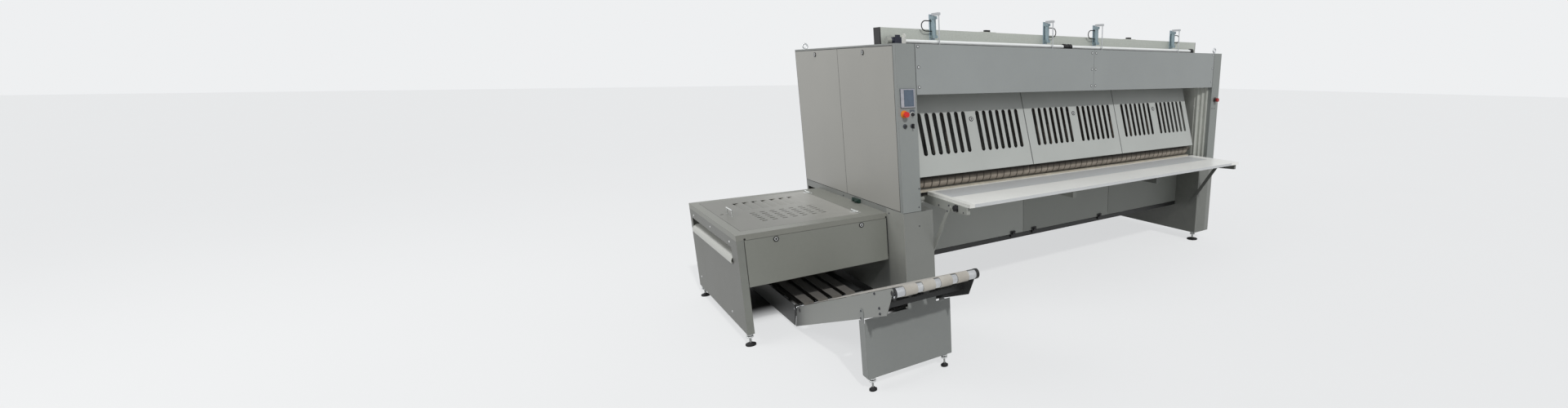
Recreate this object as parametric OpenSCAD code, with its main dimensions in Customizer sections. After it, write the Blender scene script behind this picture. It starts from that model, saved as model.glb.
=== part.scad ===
// Flatwork folder for a laundry, with a stacker and a delivery conveyor at its left end.
// Sheets are fed over the front table, folded behind the slotted guards,
// carried through the left pedestal, stacked on the lift table and rolled out to the front.
// Lengths are in millimetres. X runs to the right, Y to the back and Z up.
// In the modules x = 0 is the left face of the machine and y = 0 the front face of its columns.

/* [Main machine] */
// Width over both housings
main_w = 4000; // [3800:10:4200]
// Depth of the housings
main_d = 1962; // [1900:1:2100]
// Height of the housings above the floor
main_h = 2095; // [2060:1:2160]
// Space between the floor and the sheet metal
floor_gap = 95; // [80:1:110]
// Height of the pedestals above the floor
ped_top = 863; // [855:1:870]
// Width of each pedestal
ped_w = 257; // [240:1:280]
// Width of the left front column
left_col_w = 156; // [150:1:170]
// Width of the right front column
right_col_w = 133; // [125:1:140]
// Depth of the left front column
left_col_d = 38; // [34:1:50]
// Depth of the right front column
right_col_d = 130; // [120:1:140]
// Thickness of the sheet metal
sheet = 3; // [2:0.5:4]
// Height of the fascia's lower edge above the floor
fascia_z = 1736; // [1720:1:1760]

/* [Side doors] */
// Depth of each side door's folded edges
door_t = 20; // [16:1:24]
// Gap around each side door
door_gap = 4; // [2:0.5:5]
// Radius of a door lock
lock_r = 13; // [10:1:16]
// Distance from a door's top edge to its lock
lock_drop = 36; // [30:1:50]

/* [Guards] */
// Distance from the left face to the first guard
guard_x = 160; // [158:1:175]
// Distance from the last guard to the right housing's inner wall
guard_end = 113; // [100:1:125]
// Gap between two guards
guard_gap = 8; // [3:0.5:12]
// Lean of the guards from the vertical, in degrees
guard_tilt = 17.2; // [16:0.1:18]
// Height of the guards' hinge line above the floor
guard_hinge_z = 1771; // [1765:1:1780]
// Distance of the hinge line behind the columns' front
guard_hinge_y = 249.4; // [245:0.1:255]
// Length of a guard from its hinge line to its lower edge
guard_len = 689; // [660:1:695]
// Length of a slot in a guard
slot_len = 335; // [250:1:350]
// Width of a slot in a guard
slot_w = 36; // [20:1:40]
// Distance between two slots
slot_pitch = 68.3; // [60:0.1:70]
// Distance from the hinge line to a slot's middle
slot_drop = 362; // [350:1:380]
// Least distance from slot to slot across a guard's lock
lock_room = 110; // [90:1:130]
// Radius of the guards' hinge rod
guard_rod_r = 8; // [6:0.5:9]

/* [Rollers and belts] */
// Radius of the infeed and rear belt rollers
belt_roller_r = 57; // [50:1:58]
// Thickness of the narrow belts
belt_t = 2.7; // [2:0.1:3]
// Width of a narrow infeed belt
narrow_belt_w = 62; // [40:1:64]
// Distance between two narrow belts
narrow_pitch = 72; // [66:1:80]
// Distance from the last narrow belt's lane to the right housing's inner wall
belts_end = 93; // [85:1:105]
// Width of a fold belt behind the guards
fold_belt_w = 30; // [20:1:40]
// Distance of the infeed roller behind the columns' front
infeed_y = 165; // [160:1:175]
// Height of the infeed roller
infeed_z = 1062; // [1060:1:1064]
// Distance between the infeed roller and the rear roller
infeed_run = 935; // [800:5:1000]
// Radius of the roller that drives the fold belts
fold_roller_r = 40; // [36:1:44]
// Radius of the belt rollers' shafts
shaft_r = 15; // [12:1:18]
// Radial clearance of a shaft in its bore
fit_gap = 0.05; // [0.03:0.01:0.08]
// Clearance between a belt and its roller
belt_gap = 0.3; // [0.3:0.1:0.5]

/* [Table] */
// Distance from the table's front edge to the columns' front
table_out = 491; // [450:1:520]
// Depth of the table
table_depth = 587; // [546:1:587]
// Height of the table's front edge
table_z = 975; // [972:1:977]
// Distance from a housing's outer face to the table's end
table_inset = 273; // [270:1:290]
// Slope of the table up to the back, in degrees
table_slope = 1.37; // [1:0.01:1.5]
// Thickness of the table
table_t = 24; // [20:1:28]
// Depth of the white front board
board_depth = 302; // [250:1:320]
// Thickness of the white front board
board_t = 3; // [2:0.5:4]
// Thickness of the table arms
arm_w = 30; // [25:1:32]

/* [Lower panels] */
// Distance of the lower panels behind the columns' front
lower_y = 300; // [295:1:310]
// Height of the lower panels' bottom edge
lower_z = 430; // [420:1:440]
// Height of the lower panels' hinge line
lower_hinge_z = 897; // [893:1:898]
// Radius of the lower panels' hinge rod
lower_rod_r = 5; // [4:0.5:6]

/* [Top gear] */
// Height of the galvanised top beam
beam_h = 125; // [115:1:135]
// Depth of the galvanised top beam
beam_d = 100; // [80:1:110]
// Distance of the top beam behind the columns' front
beam_y = 320; // [316:1:330]
// Distance from a housing's outer face to the beam's end
beam_inset = 57; // [50:1:70]
// Radius of the cross shaft
cross_r = 15.5; // [14:0.5:17]
// Distance of the cross shaft behind the columns' front
cross_y = 245; // [242:1:248]
// Height of the cross shaft above the housings' roofs
cross_rise = 26.5; // [26:0.5:30]
// Radius of a lift cylinder
cyl_r = 20; // [16:1:22]
// Length of a lift cylinder's barrel
cyl_len = 165; // [130:1:170]
// Distance from a housing's outer face to the outer cylinders
cyl_outer = 500; // [480:1:540]
// Distance from the machine's middle to the inner cylinders
cyl_inner = 317; // [290:1:340]
// Radius of a pull rod
pull_r = 5; // [4:0.5:6]

/* [Controls] */
// Width of the operator panel
panel_w = 118; // [105:1:125]
// Height of the operator panel
panel_h = 137; // [125:1:145]
// Height of the operator panel's middle above the floor
panel_z = 1714; // [1705:1:1730]
// Height of both stop buttons above the floor
stop_z = 1600; // [1590:1:1605]
// Radius of a stop button's head
stop_r = 20; // [17:1:22]
// Height of the start button and the mode selector
start_z = 1513; // [1500:1:1525]
// Radius of a button's stem
stem_r = 8; // [6:0.5:9]
// Travel of a stop button
stop_travel = 4; // [3:0.5:5]

/* [Stacker] */
// Width of the stacker
side_w = 1126; // [1100:1:1160]
// Distance of the stacker's front behind the columns' front
side_y = 274; // [270:1:280]
// Depth of the stacker
side_d = 1383; // [1370:1:1400]
// Height of the stacker
side_h = 823; // [818:1:825]
// Height of the stacker's top frame
rim_h = 41; // [36:1:50]
// Width of the stacker's left corner posts
post_w = 49; // [45:1:55]
// Height of the front panel's lower edge
front_panel_z = 441; // [430:1:450]
// Distance of the lid's hinge line from the machine
lid_hinge_x = 175; // [165:1:185]
// Width of the fixed top at the lid's free side
lid_inset = 61; // [55:1:70]
// Depth of the fixed top in front of the lid
lid_front = 111; // [100:1:120]
// Radius of the lid's hinge pins
lid_pin_r = 4; // [3:0.5:5]
// Lower edge of the output slot above the floor
output_z = 603; // [595:1:610]
// Height of the output slot
output_h = 107; // [90:1:115]
// Radius of the output lip
lip_r = 45; // [40:1:46]
// Distance that the output lip stands proud
lip_out = 12; // [8:1:16]

/* [Conveyors] */
// Radius of the chrome conveyor rollers
roller_r = 28; // [25:1:30]
// Width of a wide belt
wide_belt_w = 76; // [70:1:90]
// Distance between two wide belts
wide_pitch = 112; // [105:1:115]
// Left face of the delivery conveyor, left of the machine
conv_left = 751; // [740:1:760]
// Width of both conveyors over their side plates
conv_w = 546; // [530:1:560]
// Height of the lift table's belts above the floor
lift_z = 203; // [200:1:206]
// Slope of the delivery conveyor, in degrees
incline = 20.6; // [20:0.1:21]
// Distance between the delivery conveyor's two rollers
incline_run = 1606; // [1560:1:1640]
// Depth of the delivery conveyor's side plates
plate_h = 144; // [135:1:150]
// Radius of the lift table's guide columns
guide_r = 15; // [12:1:18]

/* [Delivery stand] */
// Width of the delivery stand
stand_w = 597; // [585:1:610]
// Distance of the stand's front in front of the columns
stand_out = 868; // [860:1:880]
// Height of the stand's front panel above the floor
stand_h = 485; // [470:1:490]
// Depth of the stand's side flanges
stand_d = 78; // [70:1:85]

/* [Feet and eyes] */
// Radius of a main foot's pad
foot_r = 60; // [50:1:65]
// Radius of a stacker foot's pad
side_foot_r = 36; // [30:1:40]
// Radius of a stand foot's pad
stand_foot_r = 24; // [20:1:28]
// Ring radius of a lifting eye
eye_r = 22; // [18:1:24]

/* [Hidden] */
$fn = 64;

// Paints and materials
paint = [0.72, 0.73, 0.70];
shade_paint = [0.55, 0.57, 0.55];
zinc = [0.72, 0.74, 0.70];
steel = [0.70, 0.71, 0.72];
chrome = [0.85, 0.86, 0.88];
black = [0.06, 0.06, 0.07];
belt_colour = [0.70, 0.66, 0.58];
white = [0.90, 0.90, 0.88];
red = [0.72, 0.05, 0.05];
yellow = [0.95, 0.60, 0.08];
green = [0.05, 0.22, 0.16];

// Places that follow from the sizes above
right_in = main_w - ped_w;
right_col_x = main_w - right_col_w;
middle_x = main_w / 2;
roof_z = main_h;
rear_y = main_d;
door_mid_y = (left_col_d + rear_y) / 2;
belt_out_r = belt_roller_r + belt_gap + belt_t;
infeed_x0 = left_col_w + 10;
roller_rim = 14;
infeed_x1 = right_in - belts_end;
narrow_belts = floor((infeed_x1 - infeed_x0 - 2 * roller_rim) / narrow_pitch);
guard_w = (right_in - guard_end - guard_x - 2 * guard_gap) / 3;
guard_rim = 26.5;
half_pitch = guard_w / 2 - guard_rim;
slots = 1 + floor((half_pitch - lock_room) / slot_pitch);
wide_r = roller_r + belt_gap + belt_t;
conv_x0 = -conv_left;
conv_x1 = conv_x0 + conv_w;
wide_in = 66;
wide_first = conv_x0 + wide_in;
lift_front_in = 101;
lift_rear_in = 133;
lift_front_y = side_y + lift_front_in;
lift_rear_y = side_y + side_d - lift_rear_in;
lift_axis_z = lift_z - wide_r;
tail_y = side_y - 8.3;
tail_z = lift_z - 11.4;
front_y = tail_y - incline_run * cos(incline);
front_z = tail_z + incline_run * sin(incline);
side_x0 = -side_w;
side_y1 = side_y + side_d;
rim_z = side_h - rim_h;
lower_w = (right_in - ped_w) / 3;
cyl_x = [cyl_outer, middle_x - cyl_inner, middle_x + cyl_inner, main_w - cyl_outer];
cyl_y = beam_y - 28;
cyl_z = roof_z + 58;
pull_y = cross_y - cross_r - pull_r - 12;
cross_z = roof_z + cross_rise;
press_z = fascia_z + 224;
press_s = 34;
mid_x = (main_w - side_w - lip_out) / 2;
mid_y = (main_d + front_y - wide_r) / 2;

// Moves a piece from the machine's own corner to the middle of the floor below it
module place() translate([-mid_x, -mid_y, 0]) children();

// Block between two opposite corners
module block(a, b) translate(a) cube([b[0] - a[0], b[1] - a[1], b[2] - a[2]]);

// Round bars along the three axes
module bar_x(x0, x1, y, z, r) translate([x0, y, z]) rotate([0, 90, 0]) cylinder(h = x1 - x0, r = r);
module bar_y(x, y0, y1, z, r) translate([x, y1, z]) rotate([90, 0, 0]) cylinder(h = y1 - y0, r = r);
module bar_z(x, y, z0, z1, r) translate([x, y, z0]) cylinder(h = z1 - z0, r = r);

// Sheet metal box with walls of one thickness, cut open by the children
module shell(a, b, t = sheet) difference() {
  block(a, b);
  block([a[0] + t, a[1] + t, a[2] + t], [b[0] - t, b[1] - t, b[2] - t]);
  children();
}

// Outline of a belt around two equal rollers, the second one at [run, 0]
module stadium(run, r) {
  circle(r);
  translate([run, 0]) circle(r);
  translate([0, -r]) square([run, 2 * r]);
}

// Belt along X of width w, around a roller at [y, z] and one that lies run away at an angle
module belt_loop(x, w, y, z, run, angle, r_in)
  translate([x, y, z]) rotate([angle, 0, 0]) rotate([90, 0, 90]) linear_extrude(w)
    difference() {
      stadium(run, r_in + belt_t);
      stadium(run, r_in);
    }

// Quarter-turn lock seen from outside, on a face square to X
module lock_x(x, y, z) difference() {
  bar_x(x - 3, x + 12, y, z, lock_r);
  bar_x(x - 4, x - 1.5, y, z, lock_r * 0.45);
}

// The same lock on a face square to Y
module lock_y(x, y, z) difference() {
  bar_y(x, y - 3, y + 12, z, lock_r);
  bar_y(x, y - 4, y - 1.5, z, lock_r * 0.45);
}

// Left housing: inner wall, roof, rear wall and mid post, open at the left for the doors,
// with the doors' hinge pins at its foot
hinge_x = 6;
door_hinge_z = ped_top + sheet + door_gap + 6;
door_pin_r = 3;
module left_housing() color(shade_paint) place() difference() {
  union() {
    difference() {
      block([0, left_col_d, ped_top], [left_col_w, rear_y, roof_z]);
      block([sheet, left_col_d + sheet, ped_top + sheet],
            [left_col_w - sheet, rear_y - sheet, roof_z - sheet]);
      block([-1, left_col_d + sheet, ped_top + sheet], [sheet + 1, rear_y - sheet, roof_z - 13]);
    }
    block([door_t + 6, door_mid_y - 20, ped_top + sheet],
          [door_t + 46, door_mid_y + 20, roof_z - sheet]);
    for (y = [door_mid_y - 15, door_mid_y + 7]) {
      block([hinge_x - 2, y, door_hinge_z], [hinge_x + 5, y + 8, door_hinge_z + 26]);
      block([hinge_x - 2, y, door_hinge_z + 16], [door_t + 6, y + 8, door_hinge_z + 26]);
    }
    bar_y(hinge_x, door_mid_y - 15, door_mid_y + 15, door_hinge_z, door_pin_r);
    bar_y(hinge_x, left_col_d + sheet, left_col_d + sheet + 8, door_hinge_z, door_pin_r);
    bar_y(hinge_x, rear_y - sheet - 8, rear_y - sheet, door_hinge_z, door_pin_r);
  }
  roller_bores(left_col_w - sheet - 1, left_col_w + 1);
}

// Bores of the three belt roller shafts through a wall between two X values
module roller_bores(x0, x1) {
  bar_x(x0, x1, infeed_y, infeed_z, shaft_r + fit_gap);
  bar_x(x0, x1, infeed_y + infeed_run, infeed_z, shaft_r + fit_gap);
  bar_x(x0, x1, fold_top_y, fold_top_z, shaft_r + fit_gap);
}

// Left front column: folded cover that carries the controls
stop_x = 47;
key_x = 114;
start_x = 50;
mode_x = 111;
stop2_x = main_w - 65;
panel_x = 79;
panel_hole = 12;
shank_r = 11;
module left_column() color(paint) place() {
  difference() {
    block([0, 0, ped_top], [left_col_w, left_col_d, roof_z]);
    block([sheet, sheet, ped_top - 1], [left_col_w - sheet, left_col_d + 1, roof_z - sheet]);
    block([panel_x - panel_w / 2 + panel_hole, -1, panel_z - panel_h / 2 + panel_hole],
          [panel_x + panel_w / 2 - panel_hole, sheet + 1, panel_z + panel_h / 2 - panel_hole]);
    for (c = [[stop_x, stop_z], [key_x, stop_z - 3], [start_x, start_z], [mode_x, start_z]])
      bar_y(c[0], -1, sheet + 1, c[1], shank_r + 0.1);
  }
  fascia_tabs(left_col_w - sheet, left_col_w + tab_len);
}

// Tabs of a column behind the fascia's end, which is screwed to them
fascia_gap = 4;
tab_len = 45;
tab_h = 60;
module fascia_tabs(x0, x1) for (z = [fascia_z + 30, roof_z - 30 - tab_h])
  block([x0, sheet, z], [x1, 2 * sheet, z + tab_h]);

// Openings of the linen path through the left pedestal
window_y0 = side_y + lift_front_in + 45;
window_y1 = lift_rear_y - 24;
window_z0 = 560;
window_z1 = 760;
cover_side = 30;
service_z = 200;
module left_pedestal() color(paint) place() {
  difference() {
    shell([0, 0, floor_gap], [ped_w, rear_y, ped_top])
      block([sheet, sheet, floor_gap - 1], [ped_w - sheet, rear_y - sheet, floor_gap + sheet + 1]);
    block([-1, window_y0, window_z0], [ped_w + 1, window_y1, window_z1]);
    block([-1, side_y1 + cover_side, service_z], [sheet + 1, rear_y - cover_side, rim_z + 24]);
  }
  foot_plates(sheet, ped_w - sheet);
}

// Plates inside a pedestal that the two feet stand under
foot_in_x = 50;
foot_in_y = 60;
foot_plate_d = 100;
foot_plate_t = 8;
module foot_plates(x0, x1) for (y = [sheet, rear_y - sheet - foot_plate_d])
  block([x0, y, floor_gap], [x1, y + foot_plate_d, floor_gap + foot_plate_t]);

// Right housing with the stepped inner trim beside the guards
trim = [[0, 45], [-29, 45], [-29, 74], [-70, 74], [-70, 99], [-117, 99], [-117, right_col_d],
        [0, right_col_d]];
module right_housing() color(shade_paint) place() {
  difference() {
    shell([right_in, right_col_d, ped_top], [main_w, rear_y, roof_z])
      block([right_in + sheet, right_col_d + sheet, ped_top - 1],
            [main_w - sheet, rear_y - sheet, ped_top + sheet + 1]);
    roller_bores(right_in - 1, right_in + sheet + 1);
  }
  translate([right_col_x, 0, ped_top]) linear_extrude(roof_z - ped_top - sheet) difference() {
    polygon(trim);
    translate([sheet, sheet]) polygon(trim);
  }
}

// Right front column
module right_column() color(paint) place() {
  difference() {
    block([right_col_x, 0, ped_top], [main_w, right_col_d, roof_z]);
    block([right_col_x + sheet, sheet, ped_top - 1],
          [main_w - sheet, right_col_d + 1, roof_z - sheet]);
    bar_y(stop2_x, -1, sheet + 1, stop_z, shank_r + 0.1);
  }
  fascia_tabs(right_col_x - tab_len, right_col_x + sheet);
}

// Right pedestal
module right_pedestal() color(paint) place() {
  shell([right_in, 0, floor_gap], [main_w, rear_y, ped_top])
    block([right_in + sheet, sheet, floor_gap - 1],
          [main_w - sheet, rear_y - sheet, floor_gap + sheet + 1]);
  foot_plates(right_in + sheet, main_w - sheet);
}

// Fascia in two halves, each with a folded top and bottom edge
fascia_fold = 30;
module fascia_panel(x0, x1) difference() {
  block([x0, 0, fascia_z], [x1, fascia_fold, roof_z]);
  block([x0 - 1, sheet, fascia_z + sheet], [x1 + 1, fascia_fold + 1, roof_z - sheet]);
}
module fascia_panels() color(paint) place() {
  fascia_panel(left_col_w + fascia_gap, middle_x - 1);
  fascia_panel(middle_x + 1, right_col_x - fascia_gap);
}

// Rear covers in two rows of three, and three roof covers
cover_gap = 4;
cover_t = 3;
low_cover_z = 450;
vent_in = 180;
vent_top = 330;
vent_pitch = 22;
vent_w = 8;
module outer_covers() color(shade_paint) place() {
  top_w = (right_in - left_col_w) / 3;
  for (i = [0:2]) {
    g = i > 0 ? cover_gap : 0;
    x0 = left_col_w + i * top_w;
    x1 = x0 + top_w;
    xl = ped_w + i * lower_w;
    difference() {
      block([x0 + g, rear_y - 2 - cover_t, ped_top + 7], [x1, rear_y - 2, roof_z - 15]);
      for (k = [0:7]) {
        z = roof_z - vent_top + k * vent_pitch;
        block([x0 + vent_in, rear_y - 6, z], [x1 - vent_in, rear_y - 1, z + vent_w]);
      }
    }
    block([xl + g, rear_y - 2 - cover_t, low_cover_z], [xl + lower_w, rear_y - 2, ped_top + 3]);
    block([x0 + g, beam_y + beam_d + 20, roof_z - 9 - cover_t], [x1, rear_y - 5, roof_z - 9]);
  }
}

// Hollow square beam along X
module beam_x(x0, x1, y0, z0, d, h) difference() {
  block([x0, y0, z0], [x1, y0 + d, z0 + h]);
  block([x0 - 1, y0 + 4, z0 + 4], [x1 + 1, y0 + d - 4, z0 + h - 4]);
}

// Frame between the housings: beams, rail, guard hangers, hinge brackets, belt guide tube
guard_beam_z = guard_hinge_z + 79;
guard_beam_y = 160;
beam_size = 80;
guard_pitch = guard_w + guard_gap;
hanger_w = 6;
hanger_r = 14;
hanger_in = 20;
hanger_step = 25;
bracket_in = 200;
panel_beam_y = lower_y + 25;
lower_hinge_y = lower_y + 12;
fold_top_y = 560;
fold_top_z = 1790;
fold_run = 623;
fold_tilt = guard_tilt + 1.5;
fold_low_y = fold_top_y - fold_run * sin(fold_tilt);
fold_low_z = fold_top_z - fold_run * cos(fold_tilt);
module cross_frame() color(shade_paint) place() {
  rear_beam_y = rear_y - beam_size - 5;
  beam_x(left_col_w, right_in, guard_beam_y, guard_beam_z, beam_size, beam_size);
  beam_x(left_col_w, right_in, rear_beam_y, roof_z - beam_size - 12, beam_size, beam_size);
  beam_x(ped_w, right_in, rear_beam_y, low_cover_z - 10, beam_size, beam_size);
  beam_x(ped_w, right_in, lower_y + sheet, lower_z - 45, 30, 42);
  beam_x(left_col_w, right_in, panel_beam_y, lower_hinge_z - 17, 40, 40);
  for (i = [0:2], s = [hanger_in, guard_w - hanger_in - hanger_w])
    guard_hanger(guard_x + i * guard_pitch + s);
  for (i = [0:1], s = [bracket_in, lower_w - bracket_in]) lower_bracket(ped_w + i * lower_w + s);
  bar_x(left_col_w, right_in, fold_low_y, fold_low_z, fold_roller_r);
}

// Hanger plate between the front beam and the guards' hinge rod
module guard_hanger(x) difference() {
  union() {
    bar_x(x, x + hanger_w, guard_hinge_y, guard_hinge_z, hanger_r);
    block([x, guard_hinge_y - hanger_r + 1, guard_hinge_z],
          [x + hanger_w, guard_hinge_y + hanger_r - 1, guard_beam_z]);
    block([x, guard_beam_y + beam_size - 15, guard_hinge_z + hanger_step],
          [x + hanger_w, guard_hinge_y, guard_beam_z]);
  }
  bar_x(x - 1, x + hanger_w + 1, guard_hinge_y, guard_hinge_z, guard_rod_r + fit_gap);
}

// Bracket between the lower beam and the lower panels' hinge rod
module lower_bracket(x) difference() {
  union() {
    bar_x(x, x + hanger_w, lower_hinge_y, lower_hinge_z, lower_rod_r + 3);
    block([x, lower_hinge_y, lower_hinge_z - 4],
          [x + hanger_w, panel_beam_y, lower_hinge_z + 7.5]);
  }
  bar_x(x - 1, x + hanger_w + 1, lower_hinge_y, lower_hinge_z, lower_rod_r + fit_gap);
}

// Long hinge rods of the guards and of the lower panels
module hinge_rods() color(steel) place() {
  bar_x(left_col_w, right_in, guard_hinge_y, guard_hinge_z, guard_rod_r);
  bar_x(left_col_w, right_in, lower_hinge_y, lower_hinge_z, lower_rod_r);
}

// Narrow belts that run back from the infeed roller
module infeed_belts() color(belt_colour) place() for (i = [0:narrow_belts - 1])
  belt_loop(infeed_x0 + roller_rim + i * narrow_pitch + (narrow_pitch - narrow_belt_w) / 2, narrow_belt_w,
            infeed_y, infeed_z, infeed_run, 0, belt_roller_r + belt_gap);

// Fold belts behind the guards, around the fold roller and the guide tube
fold_belts_n = floor(narrow_belts / 2);
module fold_belts() color(belt_colour) place() for (i = [0:fold_belts_n - 1])
  belt_loop(infeed_x0 + 40 + i * narrow_pitch * 2, fold_belt_w, fold_low_y, fold_low_z, fold_run,
            90 - fold_tilt, fold_roller_r + belt_gap);

// Plastic strip between the table and the infeed belts
nosing_top = 1002;
module nosing_strip() color(belt_colour) place() {
  y0 = table_depth * cos(table_slope) - table_out + 0.3;
  block([infeed_x0, y0, nosing_top - 18], [infeed_x1, y0 + 34, nosing_top]);
}

// Moves a piece into the sloping table's frame, whose origin is its left front top corner
module table_place() translate([table_inset, -table_out, table_z])
  rotate([table_slope, 0, 0]) children();
table_w = main_w - 2 * table_inset;
board_x0 = 42;
table_edge = 4;

// Table tray: painted border, steel rear plate and folded edges
module table_tray() color(steel) place() table_place() difference() {
  block([0, 0, -table_t], [table_w, table_depth, 0]);
  block([sheet, sheet, -table_t - 1], [table_w - sheet, table_depth - sheet, -board_t - sheet]);
  block([board_x0, table_edge, -board_t], [table_w - table_edge, board_depth, 1]);
}

// White board let into the front of the table
module table_board() color(white) place() table_place()
  block([board_x0, table_edge, -board_t], [table_w - table_edge, board_depth, 0]);

// Heights of the table's underside and of its deck's, at a distance y behind the columns' front
function under(y) = table_z + (y + table_out) * tan(table_slope) - table_t / cos(table_slope);
function deck(y) = under(y) + (table_t - board_t - sheet) / cos(table_slope);

// Arms, struts, cross tube and two gussets under the table
tube_y = 150;
tube_z = table_z - 50;
tube_r = 20;
arm_front = 32 - table_out;
arm_step = tube_y - 60;
arm_rear = tube_y + tube_r + 5;
arm_bend = [-190, table_z - 89];
strut_w = 36;
strut_t = 8;
strut_top = [-235, table_z - 60];
strut_foot = [85, 440];
gusset_x = [middle_x - 501, middle_x + 625];
gusset_low = table_z - 132;
gusset_front = 191 - table_out;
gusset_t = 6;
gusset_face = 42;
knob_y = 167 - table_out;
knob_r = 23;
knob_t = 22;
module arm_side(x) translate([x, 0, 0]) rotate([90, 0, 90]) linear_extrude(arm_w)
  polygon([[arm_front, table_z - 78], [arm_front, under(arm_front)], [arm_step, under(arm_step)],
           [arm_step, tube_z + tube_r + 3], [arm_rear, tube_z + tube_r + 3],
           [arm_rear, tube_z - tube_r - 3], arm_bend]);
module strut(x) {
  run = norm(strut_top - strut_foot);
  translate([x, 0, 0]) rotate([90, 0, 90]) linear_extrude(strut_t) translate(strut_foot)
    rotate(atan2(strut_top[1] - strut_foot[1], strut_top[0] - strut_foot[0])) stadium(run, strut_w / 2);
}
module gusset(x) {
  rear = arm_step - 30;
  face = gusset_front - sheet;
  translate([x - gusset_t / 2, 0, 0]) rotate([90, 0, 90]) linear_extrude(gusset_t)
    polygon([[gusset_front, gusset_low], [gusset_front, deck(gusset_front)], [rear, deck(rear)],
             [rear, under(rear) - 3], [tube_y, tube_z + tube_r], [tube_y, tube_z - tube_r],
             [gusset_front + 190, gusset_low]]);
  translate([x - gusset_face / 2, 0, 0]) rotate([90, 0, 90]) linear_extrude(gusset_face)
    polygon([[face, gusset_low], [face, under(face)], [gusset_front, under(gusset_front)],
             [gusset_front, gusset_low]]);
}
module knob(x0, x1) difference() {
  bar_x(x0, x1, knob_y, tube_z, knob_r);
  for (a = [0:60:300]) translate([0, knob_y, tube_z]) rotate([a, 0, 0])
    bar_x(x0 - 1, x1 + 1, 0, knob_r + 6, 9);
}
module table_arms() color(paint) place() {
  bar_x(left_col_w, right_in, tube_y, tube_z, tube_r);
  arm_side(ped_w + strut_t);
  arm_side(right_in - strut_t - arm_w);
  strut(ped_w);
  strut(right_in - strut_t);
  for (x = gusset_x) gusset(x);
  knob(ped_w + strut_t - knob_t, ped_w + strut_t);
  knob(right_in - strut_t, right_in - strut_t + knob_t);
}

// Lower panel number i of three, with leaves around the hinge rod
leaf_w = 60;
leaf_r = 9;
panel_t = 2.5;
panel_fold = 18;
panel_seam = 2;
module lower_panel(i) {
  x0 = ped_w + i * lower_w + panel_seam;
  x1 = x0 + lower_w - 2 * panel_seam;
  leaves = [60, lower_w / 2 - leaf_w / 2, lower_w - 64 - leaf_w];
  difference() {
    union() {
      block([x0, lower_y, lower_z], [x1, lower_y + panel_t, lower_hinge_z - leaf_r]);
      for (x = [x0, x1 - panel_t])
        block([x, lower_y + panel_t, lower_z + 4],
              [x + panel_t, lower_y + panel_fold, lower_hinge_z - 30]);
      block([x0, lower_y + panel_t, lower_z], [x1, lower_y + panel_fold, lower_z + panel_t]);
      for (s = leaves) {
        bar_x(x0 + s, x0 + s + leaf_w, lower_hinge_y, lower_hinge_z, leaf_r);
        block([x0 + s, lower_y, lower_hinge_z - leaf_r - 5],
              [x0 + s + leaf_w, lower_hinge_y, lower_hinge_z - 5]);
      }
    }
    for (s = leaves)
      bar_x(x0 + s - 1, x0 + s + leaf_w + 1, lower_hinge_y, lower_hinge_z, lower_rod_r + fit_gap);
  }
}

// Latches at the bottom edge of a hinged lower panel
latch_in = 130;
module latch(x) {
  block([x - 24, lower_y - 10, lower_z - 8], [x + 24, lower_y, lower_z + 26]);
  bar_y(x, lower_y - 22, lower_y - 10, lower_z + 9, 11);
}
module lower_panel_left() color(shade_paint) place() {
  lower_panel(0);
  for (x = [ped_w + latch_in, ped_w + lower_w - latch_in]) latch(x);
}
module lower_panel_middle() color(shade_paint) place() {
  lower_panel(1);
  for (x = [ped_w + lower_w + latch_in, ped_w + 2 * lower_w - latch_in]) latch(x);
}

// Right lower panel, screwed to the rail and to the lower beam
module lower_panel_right() color(shade_paint) place() {
  x0 = ped_w + 2 * lower_w + panel_seam;
  x1 = right_in - panel_seam;
  rear = lower_y + panel_t;
  top = lower_hinge_z + 16;
  block([x0, lower_y, lower_z], [x1, rear, lower_hinge_z - leaf_r]);
  for (x = [x0 + bracket_in, x1 - bracket_in - leaf_w]) {
    block([x, rear, lower_z - 3], [x + leaf_w, lower_y + panel_fold, lower_z + panel_t]);
    block([x, lower_y, lower_hinge_z - leaf_r], [x + leaf_w, rear, top]);
    block([x, rear, top - 6], [x + leaf_w, panel_beam_y, top]);
  }
}

// Galvanised beam on the roofs, closed by a cap at each end
cap_t = 7;
valve_off = [936, 860];
valve_x = [middle_x - valve_off[0], middle_x + valve_off[1]];
valve_plate = [150, 60, 4];
valve_body = [44, 36, 16];
module top_beam() color(zinc) place() {
  beam_x(beam_inset, main_w - beam_inset, beam_y, roof_z, beam_d, beam_h);
  for (x = [beam_inset - cap_t, main_w - beam_inset])
    block([x, beam_y, roof_z], [x + cap_t, beam_y + beam_d, roof_z + beam_h]);
  for (x = valve_x) translate([x - valve_plate[0] / 2, beam_y + 10, roof_z + beam_h]) cube(valve_plate);
}

// Four lift cylinders on the beam's front, each on a backing plate
back_w = 50;
module lift_cylinders() color(zinc) place() for (x = cyl_x) difference() {
  union() {
    block([x - back_w / 2, beam_y - 4, roof_z + 5],
          [x + back_w / 2, beam_y, cyl_z + cyl_len + 14]);
    block([x - 22, beam_y - 10, cyl_z], [x + 22, beam_y - 4, cyl_z + cyl_len]);
    bar_z(x, cyl_y, cyl_z, cyl_z + cyl_len, cyl_r);
    for (z = [cyl_z, cyl_z + cyl_len - 22])
      block([x - cyl_r - 2, cyl_y - cyl_r - 2, z], [x + cyl_r + 2, beam_y - 4, z + 22]);
  }
  bar_z(x, cyl_y, cyl_z + 10, cyl_z + cyl_len + 1, piston_r + fit_gap);
}

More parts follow.
